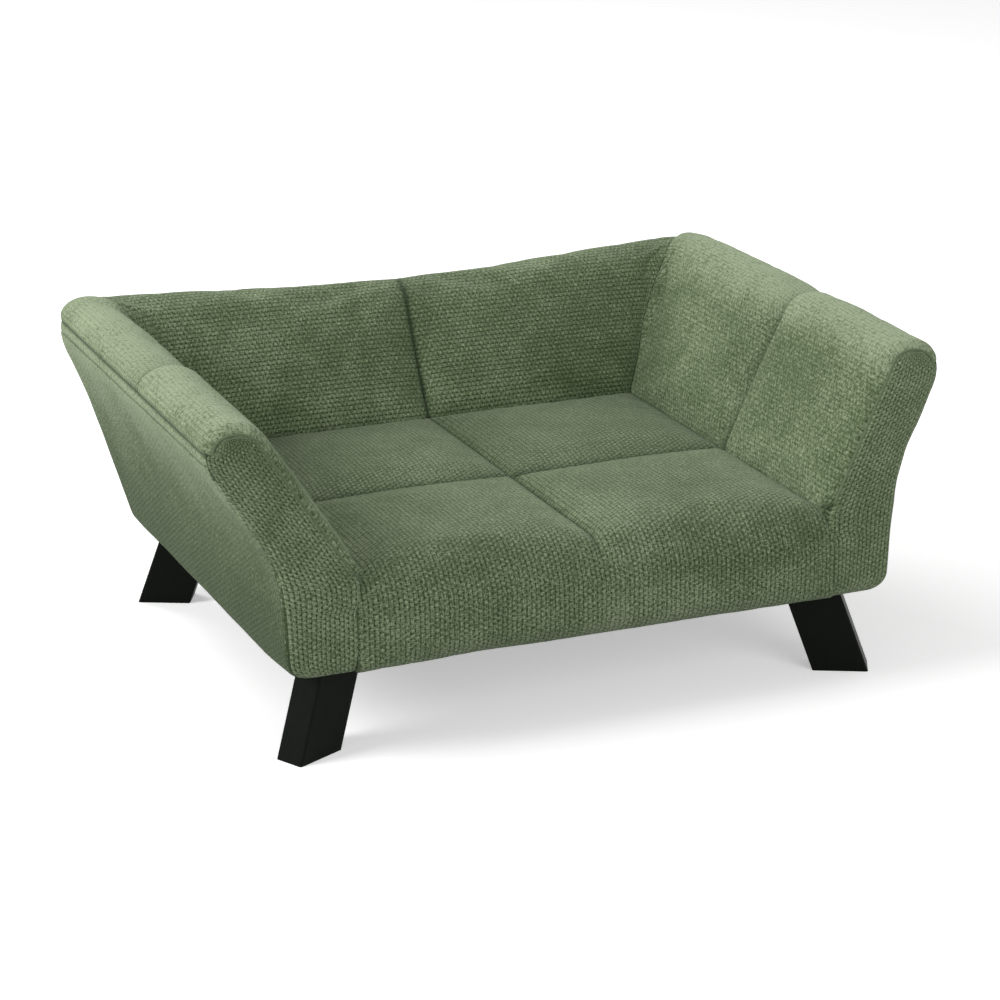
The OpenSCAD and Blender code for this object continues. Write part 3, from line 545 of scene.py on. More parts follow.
# Steps between the seeds of a panel's uneven fields
DRIFT_SEED = 50
SMALL_LUMP_SEED = 9


def finish_panel(piece, seed):
    """Subdivides a panel and adds its puckers along the seams and its soft unevenness."""
    refine = piece.modifiers.new("refine", "SUBSURF")
    refine.levels = refine.render_levels = 1
    mesh = plain_mesh(piece)
    points = coordinates(mesh)
    normals = np.zeros(len(points) * 3, np.float32)
    mesh.vertices.foreach_get("normal", normals)
    normals = normals.reshape(-1, 3)
    run_u, run_v = attribute(mesh, "run_u"), attribute(mesh, "run_v")
    row_seam, col_seam = attribute(mesh, "row_seam"), attribute(mesh, "col_seam")
    places = points * MM
    drift = PUCKER_DRIFT * lumps(places, DRIFT_WAVE, seed + DRIFT_SEED)
    wave = 2 * math.pi / PUCKER_WAVE
    amount = PUCKER * (row_seam * np.sin(run_u * wave + drift) + col_seam * np.sin(run_v * wave + drift))
    amount += LUMP * lumps(places, LUMP_SIZE, seed)
    amount += SMALL_LUMP_SHARE * LUMP * lumps(places, SMALL_LUMP_SIZE, seed + SMALL_LUMP_SEED)
    amount *= attribute(mesh, "loose")
    set_coordinates(mesh, points + normals * amount[:, None])
    mesh.shade_smooth()
    for title in ("run_u", "run_v", "row_seam", "col_seam", "loose"):
        mesh.attributes.remove(mesh.attributes[title])


# Share of the crown that the padding has before it is swelled
STARTING_CROWN = 0.75

# Arm padding, from the arm front over the mid seam to the mitre with the back
TUCK_SETBACK = 9.0
TUCK_SETBACK_H = 6.0
LEAST_MITRE_ROLL = 2.0
ARM_FULLER_RISE = 4.6
# Widths in front of and behind the mid seam: of its groove, of the painted shade in its fold and of the
# painted shade round it
ARM_GROOVE_WIDTHS = (4, 20)
ARM_FOLD_WIDTHS = (1.8, 7.5)
ARM_SHADE_WIDTHS = (2, 70)
# Painted shade round the mid seam, and towards the mitre with the back
ARM_SHADE = 0.15
MITRE_SHADE = 0.2
# Just under one, so that the edge beside the arm front is only a little darker
FRONT_EDGE_HOLD = 0.97


def arm_row(part, share):
    """Row of the arm padding: in front of the mid seam (part 0), behind it (1) or round the corner (2)."""
    seam_drop = np.interp([share / 2, (1 + share) / 2, 1][part], [0, 1], [FRONT_SEAM_DROP, REAR_SEAM_DROP])
    base = section(ARM_RISE, seam_drop)
    front_run = SEAM_Y - ARM_FRONT_Y
    rear_run = CREASE_Y - SEAM_Y
    to_seam = [(share - 1) * front_run, share * rear_run, rear_run][part]
    from_front = share * front_run if part == 0 else front_run
    along = 1 if part == 2 else share
    lengths = path_lengths(base)
    amounts = STARTING_CROWN * FACE_CROWN * CROWNS * pillow(along) * (part < 2)
    fuller = fuller_front(to_seam, ARM_FULLER_RISE, ARM_FULLER_RUN) * ARM_FULLER_EASE
    amounts = amounts - (sewn_groove(to_seam, *ARM_GROOVE_WIDTHS) - fuller) * CHANNELS * ARM_CREST_EASE
    amounts -= edge_roll(from_front, FRONT_ROLL) + edge_roll(lengths[-1] - lengths)
    if part == 2:
        corner_run = corner_radius(base[:, 0]) * math.pi / 4
        amounts -= edge_roll((1 - share) * np.maximum(LEAST_MITRE_ROLL, corner_run))
    rows = []
    for path in (shaped(base, amounts), lining(base)):
        z = SEAT_Z + path[:, 1]
        radius = corner_radius(path[:, 0])
        straight_end = CREASE_Y + back_reach(path) - radius - FIT_GAP
        x = CREASE_X + path[:, 0]
        if part == 0:
            front = arm_front(z) + TUCK_SETBACK * np.clip(-path[:, 1] / TUCK_SETBACK_H, 0, 1)
            y = front + (arm_seam(z) - front) * share
        elif part == 1:
            y = arm_seam(z) + (straight_end - arm_seam(z)) * share
        else:
            turn = np.radians(mitre_angle(path[:, 0]) * share)
            x = x - radius + radius * np.cos(turn)
            y = straight_end + radius * np.sin(turn)
        rows.append(np.stack([x, y, z], axis=1))
    seam = max(channel(to_seam, SEAM_HOLD_W), FRONT_EDGE_HOLD * channel(from_front, EDGE_HOLD_W))
    edge = channel(lengths[-1] - lengths, EDGE_HOLD_W)
    # Painted shade in the fold of the mid seam, round it and towards the mitre
    painted_shade = (shaded_line(to_seam, *ARM_FOLD_WIDTHS) * ARM_FOLD_EASE
            + ARM_SHADE * shaded_line(to_seam, *ARM_SHADE_WIDTHS))
    if part == 2:
        painted_shade = np.maximum(painted_shade, MITRE_SHADE * share)
    return rows[0], rows[1], np.stack([lengths, lengths], axis=1), edge, np.full(len(base), seam), painted_shade


def arm_pad():
    turn = ARM_FRONT_Y + FRONT_ROLL * (1 - np.cos(np.linspace(0, math.pi / 2, 6)))
    front = np.concatenate([turn[:-1], stops(turn[-1], SEAM_Y - SEAM_REACH)[:-1], SEAM_Y - NEAR_SEAM[::-1]])
    rear = np.concatenate([SEAM_Y + NEAR_SEAM[1:-1], stops(SEAM_Y + SEAM_REACH, CREASE_Y)])
    rows = [arm_row(0, (y - ARM_FRONT_Y) / (SEAM_Y - ARM_FRONT_Y)) for y in front]
    rows += [arm_row(1, (y - SEAM_Y) / (CREASE_Y - SEAM_Y)) for y in rear]
    rows += [arm_row(2, share) for share in ARC_SHARES]
    outside, inside, weave, edge, seam, painted_shade = (np.array(part) for part in zip(*rows))
    weave = np.stack([weave[:, :, 1], runs_along(outside)], axis=2)
    return Panel("right_arm_padding", "right_arm_pad", outside, inside, weave, edge, seam, painted_shade)


# Padding of the back, two panels with a seam between them
BACK_GROOVE_W = 8
# Painted shade in the fold of the back's middle seam, and round it
BACK_FOLD_SHADE = 0.95
BACK_FOLD_W = 2.6
BACK_SHADE = 0.12
BACK_SHADE_W = 16
# Length of the back that is stationed evenly, up to a little past the crease beside the arm
BACK_STRAIGHT = CREASE_X + 20


def back_row(part, share):
    """Row of the right half of the back: along it (part 0) or round the corner (1)."""
    nominal_x = share * (CREASE_X + CREST_W) if part == 0 else CREASE_X + (1 + share) * CREST_W
    rise = float(back_rise(nominal_x))
    base = back_section(rise, BACK_SEAM_DROP)
    lengths = path_lengths(base)
    to_seam = share * CREASE_X if part == 0 else CREASE_X
    amounts = STARTING_CROWN * FACE_CROWN * CROWNS * pillow(share) * (part == 0)
    amounts = amounts - sewn_groove(to_seam, BACK_GROOVE_W, BACK_GROOVE_W) * CHANNELS * BACK_CREST_EASE
    amounts -= edge_roll(lengths[-1] - lengths)
    rows = []
    for path in (shaped(base, amounts), lining(base)):
        reach = arm_reach(path)
        radius = corner_radius(reach)
        straight = CREASE_X + reach - radius - FIT_GAP
        if part == 0:
            x = share * straight
            y = CREASE_Y + path[:, 0]
        else:
            turn = np.radians((90 - mitre_angle(reach)) * share)
            x = straight + radius * np.sin(turn)
            y = CREASE_Y + path[:, 0] - radius + radius * np.cos(turn)
        rows.append(np.stack([x, y, SEAT_Z + path[:, 1]], axis=1))
    u = rows[0][:, 0] if part == 0 else straight + radius * math.radians(MITRE * share)
    edge = channel(lengths[-1] - lengths, EDGE_HOLD_W)
    seam = np.full(len(base), channel(to_seam, SEAM_HOLD_W))
    # Painted shade in the fold of the middle seam and round it
    painted_shade = BACK_FOLD_SHADE * channel(to_seam, BACK_FOLD_W) + BACK_SHADE * channel(to_seam, BACK_SHADE_W)
    return rows[0], rows[1], np.stack([lengths, u], axis=1), edge, seam, np.full(len(base), painted_shade)


def both_halves(outside, inside, *fields):
    """Rows for the whole width, from those for the right half that start on the middle."""
    turn = np.array([-1, 1, 1])
    grids = [np.concatenate([grid[:0:-1] * turn, grid]) for grid in (outside, inside)]
    return grids + [np.concatenate([field[:0:-1], field]) for field in fields]


def back_pad():
    stations = np.concatenate([NEAR_SEAM[:-1], stops(SEAM_REACH, BACK_STRAIGHT)])
    rows = [back_row(0, x / BACK_STRAIGHT) for x in stations]
    rows += [back_row(1, share) for share in ARC_SHARES]
    half = [np.array(part) for part in zip(*rows)]
    return Panel("back_padding", "back_pad", *both_halves(*half))


# Seat cover: two by two panels, the roll over the front edge and the front band
BAND_BOTTOM_R = 14.0
ROLL_Y = FRONT_Y + ROLL_R
ROLL_Z = SEAT_Z - ROLL_R
BAND_LOW_Z = LEG_H + BAND_BOTTOM_R
REAR_EDGE_W = 10.0
BAND_LINING_Z = LEG_H + OUTER_T


def seat_profile():
    """Rows as [y, z, direction out, lining y, lining z, share of the centre seam]."""
    behind = stops(CREASE_Y - FIT_GAP, CREASE_Y - REAR_EDGE_W, SEAM_Y + SEAM_REACH)
    in_front = stops(SEAM_Y - SEAM_REACH, ROLL_Y)
    top = np.concatenate([behind[:-1], SEAM_Y + NEAR_SEAM[:0:-1], SEAM_Y - NEAR_SEAM[:-1], in_front])
    rows = [(y, SEAT_Z, 90, y, FOAM_TOP_Z, 1) for y in top]
    for angle in np.linspace(0, 90, 14)[1:]:
        a = math.radians(angle)
        rows.append((ROLL_Y - ROLL_R * math.sin(a), ROLL_Z + ROLL_R * math.cos(a), 90 + angle,
                     ROLL_Y + (BAND_BACK_Y - ROLL_Y) * math.sin(a),
                     STACK_Z + (FOAM_TOP_Z - STACK_Z) * math.cos(a), math.cos(a) ** 2))
    for z in stops(ROLL_Z, BAND_LOW_Z)[1:]:
        rows.append((FRONT_Y, z, 180, BAND_BACK_Y, z, 0))
    for angle in np.linspace(0, 90, 6)[1:]:
        a = math.radians(angle)
        lining_z = BAND_LOW_Z + (BAND_LINING_Z - BAND_LOW_Z) * (1 - math.cos(a)) / 2
        rows.append((FRONT_Y + BAND_BOTTOM_R * (1 - math.cos(a)), BAND_LOW_Z - BAND_BOTTOM_R * math.sin(a),
                     180 + angle, BAND_BACK_Y, lining_z, 0))
    rows.append((BAND_BACK_Y, LEG_H, 270, BAND_BACK_Y, BAND_LINING_Z, 0))
    return rows


WIDENING_TOP_Z = 171.0
WIDENING_H = 9.0


def widening(z):
    """Share by which the front band is wider than the seat, below the ends of the arm padding."""
    share = min(1, max(0, (WIDENING_TOP_Z - z) / WIDENING_H))
    return share * share * (3 - 2 * share)


# The ends of the front band are drawn in to the arm fronts, which swell out to meet them
BAND_PULL = 3.6
BAND_PULL_POWER = 6
BAND_EXTRA_W = 0.45
BAND_END_ROLL = 0.6
FRONT_SWELL = 4.2
# The band's lower edge is uneven by this much, in waves of this size, fading out above it
HEM_WAVE = 0.9
HEM_WAVE_SIZE = 85
HEM_WAVE_SEED = 21
HEM_WAVE_TOP_Z = 112
HEM_WAVE_FADE = 28
# Shares of the groove depths of the other pieces, and widths of the seat's grooves
CENTRE_GROOVE = 0.75
CENTRE_GROOVE_W = 7
CROSS_GROOVE = 0.8
CROSS_GROOVE_WIDTHS = (4, 11)
END_GROOVE_W = 8
SEAT_FULLER_RISE = 2.2
# Painted shade: in the folds of the seams, beside them, towards the back and the arms, and along the
# seat from the front
CROSS_FOLD_WIDTHS = (3, 12.5)
CROSS_SHADE = 0.14
CROSS_SHADE_WIDTHS = (3, 30)
CENTRE_FOLD_SHADE = 0.9
CENTRE_FOLD_W = 2.8
REAR_SHADE = 0.20
REAR_SHADE_W = 150
END_SHADE = 0.16
END_SHADE_W = 45
SEAT_SHADE_Y = [FRONT_Y + 6, ROLL_Y, SEAM_Y + 1, SEAM_Y + 4]
SEAT_SHADES = [0.12, 0.12, 0, 0.16]
# Stations across the seat as shares of half its width, closer together at the centre seam and at the ends
END_STATIONS = np.array([5, 2.6, 1.2, 0])
HALF_SHARES = np.concatenate([
    NEAR_SEAM[:-1], stops(SEAM_REACH, CREASE_X - 8), CREASE_X - END_STATIONS]) / CREASE_X
SEAT_SHARES = np.concatenate([-HALF_SHARES[:0:-1], HALF_SHARES])


def seat_groove(x, cross, near_end, to_crease, centre, on_top):
    """Depth of the seams in a row of the seat, with the cloth turned in at its ends."""
    even = np.ones(len(x))
    deepest = np.maximum.reduce([
        CENTRE_GROOVE * sewn_groove(np.abs(x), CENTRE_GROOVE_W, CENTRE_GROOVE_W) * centre,
        CROSS_GROOVE * sewn_groove(cross, *CROSS_GROOVE_WIDTHS) * on_top * even,
        CHANNEL_D * channel(near_end, END_GROOVE_W) * centre, CHANNEL_D * channel(to_crease) * even])
    return deepest + edge_roll(near_end, SEAM_ROLL if on_top else BAND_END_ROLL)


def seat_painted_shade(x, y, near_end, centre, on_top):
    """Painted shade of a row of the seat."""
    cross = y - SEAM_Y
    painted_shade = np.maximum(shaded_line(cross, *CROSS_FOLD_WIDTHS) * on_top,
                      CENTRE_FOLD_SHADE * channel(x, CENTRE_FOLD_W) * centre)
    beside = (REAR_SHADE * channel(CREASE_Y - y, REAR_SHADE_W)
              + END_SHADE * channel(near_end, END_SHADE_W) * on_top + np.interp(y, SEAT_SHADE_Y, SEAT_SHADES))
    return np.maximum(painted_shade, beside + CROSS_SHADE * shaded_line(cross, *CROSS_SHADE_WIDTHS) * on_top)


def seat_row(run, y, z, angle, in_y, in_z, centre):
    """Row of the seat cover across its whole width, at a length run from the back."""
    half = CREASE_X - FIT_GAP + (COVER_T + BAND_EXTRA_W) * widening(z)
    in_half = CREASE_X - FIT_GAP + COVER_T * widening(in_z)
    shares = SEAT_SHARES
    x = shares * half
    even = np.ones(len(x))
    near_end = half - np.abs(x)
    along = (CREASE_Y - y) / (CREASE_Y - SEAM_Y) if y > SEAM_Y else (SEAM_Y - y) / (SEAM_Y - FRONT_Y)
    on_top = float(z == SEAT_Z)
    crown = STARTING_CROWN * SEAT_CROWN * pillow(np.abs(shares)) * pillow(along) * (angle < 180)
    cross = y - SEAM_Y
    groove = seat_groove(x, cross, near_end, CREASE_Y - y, centre, on_top)
    pull = BAND_PULL * np.abs(shares) ** BAND_PULL_POWER * (1 - centre) * (z < SEAT_Z) * (angle <= 180)
    out = crown - groove + fuller_front(cross, SEAT_FULLER_RISE) * on_top * pillow(np.abs(shares))
    a = math.radians(angle)
    low = min(1, max(0, (HEM_WAVE_TOP_Z - z) / HEM_WAVE_FADE))
    uneven = HEM_WAVE * lumps(np.stack([x, 0 * x, 0 * x], axis=1), HEM_WAVE_SIZE, HEM_WAVE_SEED) * low
    outside = np.stack([x, y + out * math.cos(a) + pull, z + out * math.sin(a) + uneven], axis=1)
    inside = np.stack([shares * in_half, in_y * even, in_z * even], axis=1)
    weave = np.stack([x, -run * even], axis=1)
    edge = max(channel(cross, SEAM_HOLD_W) * on_top, channel(CREASE_Y - y, EDGE_HOLD_W)) * even
    seam = np.maximum(channel(x, SEAM_HOLD_W) * centre, channel(near_end, EDGE_HOLD_W) * on_top)
    return outside, inside, weave, edge, seam, seat_painted_shade(x, y, near_end, centre, on_top)


def seat_pad():
    profile = seat_profile()
    runs = path_lengths(np.array([row[:2] for row in profile]))
    rows = [seat_row(run, *row) for run, row in zip(runs, profile)]
    return Panel("seat_padding", "seat_cover", *(np.array(field) for field in zip(*rows)))


# Outer covers of the arms and the back, as [share of the height, share of the overhang]
FRONT_PROFILE = [[0, 0.05], [0.13, 0.07], [0.32, 0.1], [0.49, 0.19], [0.59, 0.31], [0.67, 0.45], [0.75, 0.63],
                 [0.85, 0.82], [0.95, 0.99], [1, 1.01]]
REAR_PROFILE = [[0, 0.06], [0.13, 0.17], [0.34, 0.37], [0.5, 0.53], [0.68, 0.72], [0.78, 0.85], [0.9, 1],
                [0.96, 1.04], [1, 1.03]]
BACK_PROFILE = [[0, 0], [0.13, 0.05], [0.34, 0.15], [0.5, 0.28], [0.68, 0.5], [0.78, 0.66], [0.9, 0.9],
                [1, 1]]
# The covers turn in under the crests from this share of their height, at the front and more at the rear
TURN_IN_SHARE = 0.86
FRONT_TURN_IN = 0.01
REAR_TURN_IN = 0.02
# Round lower edge of the covers, larger over the first share of an arm's run
FRONT_HEM_R = 17.0
REAR_HEM_R = 9.0
FRONT_RUN_SHARE = 0.15
HEM_SETBACK = RAIL_FRONT_Y - ARM_FRONT_Y - OUTER_T
LINING_SETBACK = 13.0
HEM_TUCK = 1.0
# Topstitch below the outer seam, with rows of points close to it, and its shallow groove with painted shade
# in it
TOPSTITCH_DROP = 9.7
TOP_DROPS = [0, 1, 2.5, 5, 7.5, 8.7, TOPSTITCH_DROP, 10.7, 12, 14]
TOPSTITCH_ROW = TOP_DROPS.index(TOPSTITCH_DROP)
TOPSTITCH_D = 0.9
TOPSTITCH_GROOVE_W = 1.5
# Painted shade in the topstitch groove and along the outer seam
TOPSTITCH_FOLD_SHADE = 0.75
TOPSTITCH_FOLD_W = 1.1
TOP_FOLD_SHADE = 0.8
TOP_FOLD_W = 1.4
# Rows below the topstitch: the drop of the first, the share of the height of the last and their number
FIRST_ROW_DROP = 16
LAST_ROW_SHARE = 0.10
COVER_ROWS = 40
# The seam at the front corner of an arm fades out downwards, from a height over a length
CORNER_SEAM_Z = 205.0
CORNER_SEAM_FADE = 60.0


def side_x(u, s):
    """Distance of an arm's outer cover from the middle, at shares of its height and of its run."""
    share = (1 - s) * smooth_lookup(u, FRONT_PROFILE) + s * smooth_lookup(u, REAR_PROFILE)
    turned = np.clip((u - TURN_IN_SHARE) / (1 - TURN_IN_SHARE), 0, 1) ** 2
    share = share - (FRONT_TURN_IN + REAR_TURN_IN * s) * turned
    return BASE_X + (ARM_OVERHANG - ARM_BASE_T) * share


def side_top(s):
    """Height of an arm's outer seam at a share of its run."""
    return SEAT_Z + ARM_RISE - (FRONT_SEAM_DROP + (REAR_SEAM_DROP - FRONT_SEAM_DROP) * s) - FIT_GAP


def back_y(u, rise):
    return BASE_Y + (back_overhang(rise) - BACK_BASE_T) * smooth_lookup(u, BACK_PROFILE)


def cover_rows(top_z, radius):
    """Rows as [share of the height, inset of the round hem, height]."""
    height = top_z - LEG_H
    shares = np.concatenate([1 - np.array(TOP_DROPS) / height,
                             np.linspace(1 - FIRST_ROW_DROP / height, LAST_ROW_SHARE, COVER_ROWS)])
    rows = [(u, 0, LEG_H + height * u) for u in shares]
    for angle in np.linspace(15, 90, 6):
        a = math.radians(angle)
        rise = radius * (1 - math.sin(a))
        rows.append((rise / height, radius * (1 - math.cos(a)), LEG_H + rise))
    return np.array(rows)


def upper_share(z):
    """One at the top of an arm, nothing at its foot: the seam at the front corner fades downwards."""
    return np.clip((z - CORNER_SEAM_Z) / CORNER_SEAM_FADE, 0, 1)


def hem_radius(s):
    """Radius of an arm's round lower edge at a share of its run."""
    return FRONT_HEM_R + (REAR_HEM_R - FRONT_HEM_R) * min(1, s / FRONT_RUN_SHARE)


def hem_end(s, turn, low, on_side):
    """Last point of a column, where the cover ends at the lower edge of the base box."""
    rail_x, rail_y = RAIL_X + FIT_GAP, RAIL_BACK_Y + FIT_GAP
    if on_side:
        front = RAIL_FRONT_Y + HEM_TUCK
        return [rail_x - FIT_GAP + FIT_GAP * math.cos(turn),
                front + (rail_y - 2 * FIT_GAP - front) * s + FIT_GAP * math.sin(turn), low]
    return [s * (rail_x - 2 * FIT_GAP) + FIT_GAP * math.sin(turn),
            rail_y - FIT_GAP + FIT_GAP * math.cos(turn), low]


def cover_column(s, arc, inner, on_side):
    """Column of an outer cover at a share of its run, then round the rear corner by arc."""
    nominal = s * (CREASE_X + CREST_W) + arc * CREST_W
    rise = ARM_RISE - CORNER_STEP if on_side else float(back_rise(nominal))
    top_z = side_top(s) if on_side else SEAT_Z + rise - BACK_SEAM_DROP - FIT_GAP
    rows = cover_rows(top_z, hem_radius(s) if on_side else REAR_HEM_R)
    u, inset, height = rows.T
    t = OUTER_T if inner else 0
    drop = top_z - height
    stitched = TOPSTITCH_D * channel(drop - TOPSTITCH_DROP, TOPSTITCH_GROOVE_W)
    roll = 0 if inner else edge_roll(drop) + stitched
    x = side_x(u, s if on_side else 1) - t - inset - roll
    back = back_y(u, rise) - t - inset - roll
    z = np.maximum(height, LEG_H + OUTER_T) if inner else height
    if on_side and not inner:
        x = x - ease(s * (BASE_Y - ARM_FRONT_Y) + EASE_END)
    radius = CORNER_R - t
    turn = math.radians(MITRE * arc)
    if on_side:
        near_front = 1 - min(1, s / FRONT_RUN_SHARE)
        front = arm_front(z) + near_front * (LINING_SETBACK if inner else EASE_END)
        front = front + HEM_SETBACK * inset / hem_radius(0) * near_front
        end = back - radius - FIT_GAP
        points = [x - radius + radius * math.cos(turn),
                  front + (end - front) * s + radius * math.sin(turn), z]
    else:
        end = x - radius - FIT_GAP
        points = [s * end + radius * math.sin(turn), back - radius + radius * math.cos(turn), z]
    low = LEG_H + (OUTER_T if inner else 0)
    return np.vstack([np.stack(points, axis=1), [hem_end(s, turn, low, on_side)]])


def outer_cover(on_side):
    """Outer cover of the right arm, or of the back over its whole width."""
    length = BASE_Y - ARM_FRONT_Y if on_side else BASE_X
    runs = np.concatenate([np.linspace(0, CORNER_EASE, 8)[:-1], stops(CORNER_EASE, length)])
    stations = [(s, 0) for s in runs / length] + [(1, arc) for arc in ARC_SHARES]
    outside = np.array([cover_column(s, arc, False, on_side) for s, arc in stations])
    inside = np.array([cover_column(s, arc, True, on_side) for s, arc in stations])
    u = outside[:, :, 1 if on_side else 0].copy()
    straight = len(runs)
    u[straight:] = u[straight - 1] + (ARC_SHARES * CORNER_R * math.pi / 4)[:, None]
    v = -np.array([path_lengths(column) for column in outside])
    weave = np.stack([u, v], axis=2)
    edge = channel(-v, EDGE_HOLD_W)
    drop = outside[:, :1, 2] - outside[:, :, 2]
    # Painted shade in the topstitch groove and along the outer seam
    painted_shade = np.maximum(TOPSTITCH_FOLD_SHADE * channel(drop - TOPSTITCH_DROP, TOPSTITCH_FOLD_W),
                      TOP_FOLD_SHADE * channel(drop, TOP_FOLD_W))
    if on_side:
        run = np.array([s * length for s, _ in stations])[:, None]
        seam = channel(run, EDGE_HOLD_W) * upper_share(outside[:, :, 2])
        return Panel(
            "right_outer_panel", "right_outer_cover", outside, inside, weave, edge, seam, painted_shade, COVER_FILL)
    fields = both_halves(outside, inside, weave, edge, np.zeros_like(v), painted_shade)
    return Panel("back_outer_panel", "back_outer_cover", *fields, COVER_FILL)


# Front panels of the arms
INNER_LOW_X = CREASE_X + COVER_T + FIT_GAP
# The panel meets the crest at these shares of its curve, opposite these places of the arm's section
CREST_TURNS = np.array([1, 0.94, 0.86, 0.76, 0.66])
CREST_PLACES = (5.25, 5.5, 5.75, 5.9, 6.2, 6.8, 7.5, 8.2)
# Heights of the rows beside the end of the seat's roll
TUCK_ROWS_Z = (STACK_Z + 7, SEAT_Z - 8)
# Corner at the top of the outer edge, off the start of the crest
CORNER_OUT = 1.5
CORNER_UP = 0.2
FRONT_ROWS = 62
# Stations from the inner to the outer edge, in millimetres at the foot of an arm
EDGE_STATIONS = np.array([0, 1.2, 2.4, 3.6, 4.8, 6.2, 8, 11])
EDGE_SHARES = EDGE_STATIONS / ARM_BASE_T
FRONT_SHARES = np.concatenate([
    EDGE_SHARES, np.linspace(15 / ARM_BASE_T, 51 / ARM_BASE_T, 9), 1 - EDGE_SHARES[::-1]])
FRONT_CROWN = 4.5
FRONT_INNER_ROLL = 0.9
FRONT_EDGE_W = 5
FRONT_LINING_IN = 4.6
# The swelling beside the front band, over its height and towards the outer edge
SWELL_TOP_Z = STACK_Z + 12
SWELL_FADE = 24
SWELL_RISE = 20
SWELL_POWER = 1.5
# Ridge beside the welt
RIDGE_H = 1.1
RIDGE_IN = 4.6
RIDGE_W = 1.8
# The padding of the panel starts this high above its lower edge and is full after a length
FRONT_PADDING_RISE = 30
FRONT_PADDING_RUN = 40
# The seam at its inner edge fades out lower than the one at the outer edge
INNER_SEAM_LOWER = 50


def outer_edge(z):
    """Outer edge of an arm's front panel, beside the outer cover."""
    share = np.clip((z - LEG_H) / (side_top(0) - LEG_H), 0, 1)
    return float(side_x(share, 0)) - EASE_END


def nearest(values, target):
    """Index of the value that is closest to the target."""
    return int(np.argmin(np.abs(values - target)))


def front_rows():
    """Rows as [inner x, outer x, inner z, outer z, set back at the round lower edge]."""
    front_section = section(ARM_RISE, FRONT_SEAM_DROP)
    front_section = front_section - normals_left(front_section) * (COVER_T + FIT_GAP)
    hem = []
    for angle in np.linspace(90, 0, 7):
        a = math.radians(angle)
        inset = 1 - math.cos(a)
        z = LEG_H + FRONT_HEM_R * (1 - math.sin(a))
        hem.append((INNER_LOW_X, outer_edge(z) - FRONT_HEM_R * inset, z, z, HEM_SETBACK * inset))
    rows = [hem[-1], (INNER_LOW_X, outer_edge(STACK_Z), STACK_Z, STACK_Z, 0)]
    for z in TUCK_ROWS_Z:
        rows.append((CREASE_X + COVER_T / 2, outer_edge(z), z, z, 0))
    for place in range(1, 6):
        px, pz = front_section[nearest(SECTION_PLACES, place)]
        z = SEAT_Z + pz
        rows.append((CREASE_X + px, outer_edge(z), z, z, 0))
    top_z = side_top(0)
    crest = bezier(crest_curve(ARM_RISE, FRONT_SEAM_DROP), CREST_TURNS)
    crest = crest + normals_left(crest) * (COVER_T + FIT_GAP) + [CREASE_X, SEAT_Z]
    side = [(outer_edge(z), z) for z in np.linspace(rows[-1][3], top_z, 4)[1:]]
    side.append((crest[0][0] + CORNER_OUT, top_z + CORNER_UP))
    for place, (qx, qz) in zip(CREST_PLACES, [*side, *crest[1:]]):
        px, pz = front_section[nearest(SECTION_PLACES, place)]
        rows.append((CREASE_X + px, qx, SEAT_Z + pz, qz, 0))
    rows = np.array(rows, float)
    run = path_lengths(rows[:, [0, 2]]) + path_lengths(rows[:, [1, 3]])
    fine = np.linspace(0, run[-1], FRONT_ROWS)
    rows = np.stack([np.interp(fine, run, column) for column in rows.T], axis=1)
    return np.vstack([hem[:-1], rows])


def front_row(run, inner_x, outer_x, inner_z, outer_z, setback):
    """Row of an arm's front panel, at a length run from its lower edge."""
    shares = FRONT_SHARES
    x = inner_x + (outer_x - inner_x) * shares
    z = inner_z + (outer_z - inner_z) * shares
    to_inner = shares * abs(outer_x - inner_x)
    to_outer = (1 - shares) * abs(outer_x - inner_x)
    crown = FRONT_CROWN * pillow(shares) + RIDGE_H * channel(to_inner - RIDGE_IN, RIDGE_W)
    upper = np.clip((z - LEG_H - FRONT_PADDING_RISE) / FRONT_PADDING_RUN, 0, 1)
    low = np.clip((SWELL_TOP_Z - z) / SWELL_FADE, 0, 1) * np.clip((z - LEG_H) / SWELL_RISE, 0, 1)
    swell = FRONT_SWELL * low * (1 - shares) ** SWELL_POWER
    y = (arm_front(z) + setback - crown * upper - swell + edge_roll(to_inner, FRONT_INNER_ROLL)
         + ease(to_outer + EASE_END))
    back = RAIL_FRONT_Y + np.maximum(0, z - STACK_Z) * LEAN - FIT_GAP
    lining_x = np.minimum(x, outer_x - FRONT_LINING_IN)
    lining_z = z + np.where(z < LEG_H + OUTER_T, OUTER_T, 0)
    seam = np.maximum(channel(to_inner, FRONT_EDGE_W) * upper_share(z + INNER_SEAM_LOWER),
                      channel(to_outer, FRONT_EDGE_W) * upper_share(z))
    return (np.stack([x, y, z], axis=1), np.stack([lining_x, back, lining_z], axis=1),
            np.stack([shares * ARM_BASE_T, np.full(len(x), run)], axis=1), np.zeros(len(x)), seam)


def front_panel():
    rows = front_rows()
    runs = path_lengths(rows[:, [0, 2]])
    fields = [np.array(field) for field in zip(*(front_row(run, *row) for run, row in zip(runs, rows)))]
    return Panel("right_arm_front_panel", "right_arm_front", *fields, 0, FRONT_FILL)


# Materials
def new_material(name):
    material = bpy.data.materials.new(name)
    material.use_nodes = True
    nodes = material.node_tree.nodes
    shader = nodes["Principled BSDF"]
    return material, nodes, material.node_tree.links, shader


def math_node(nodes, links, operation, first, second=None, third=None):
    node = nodes.new("ShaderNodeMath")
    node.operation = operation
    for socket, value in zip(node.inputs, (first, second, third)):
        if value is None:
            continue
        if isinstance(value, (int, float)):
            socket.default_value = value
        else:
            links.new(value, socket)
    return node.outputs[0]


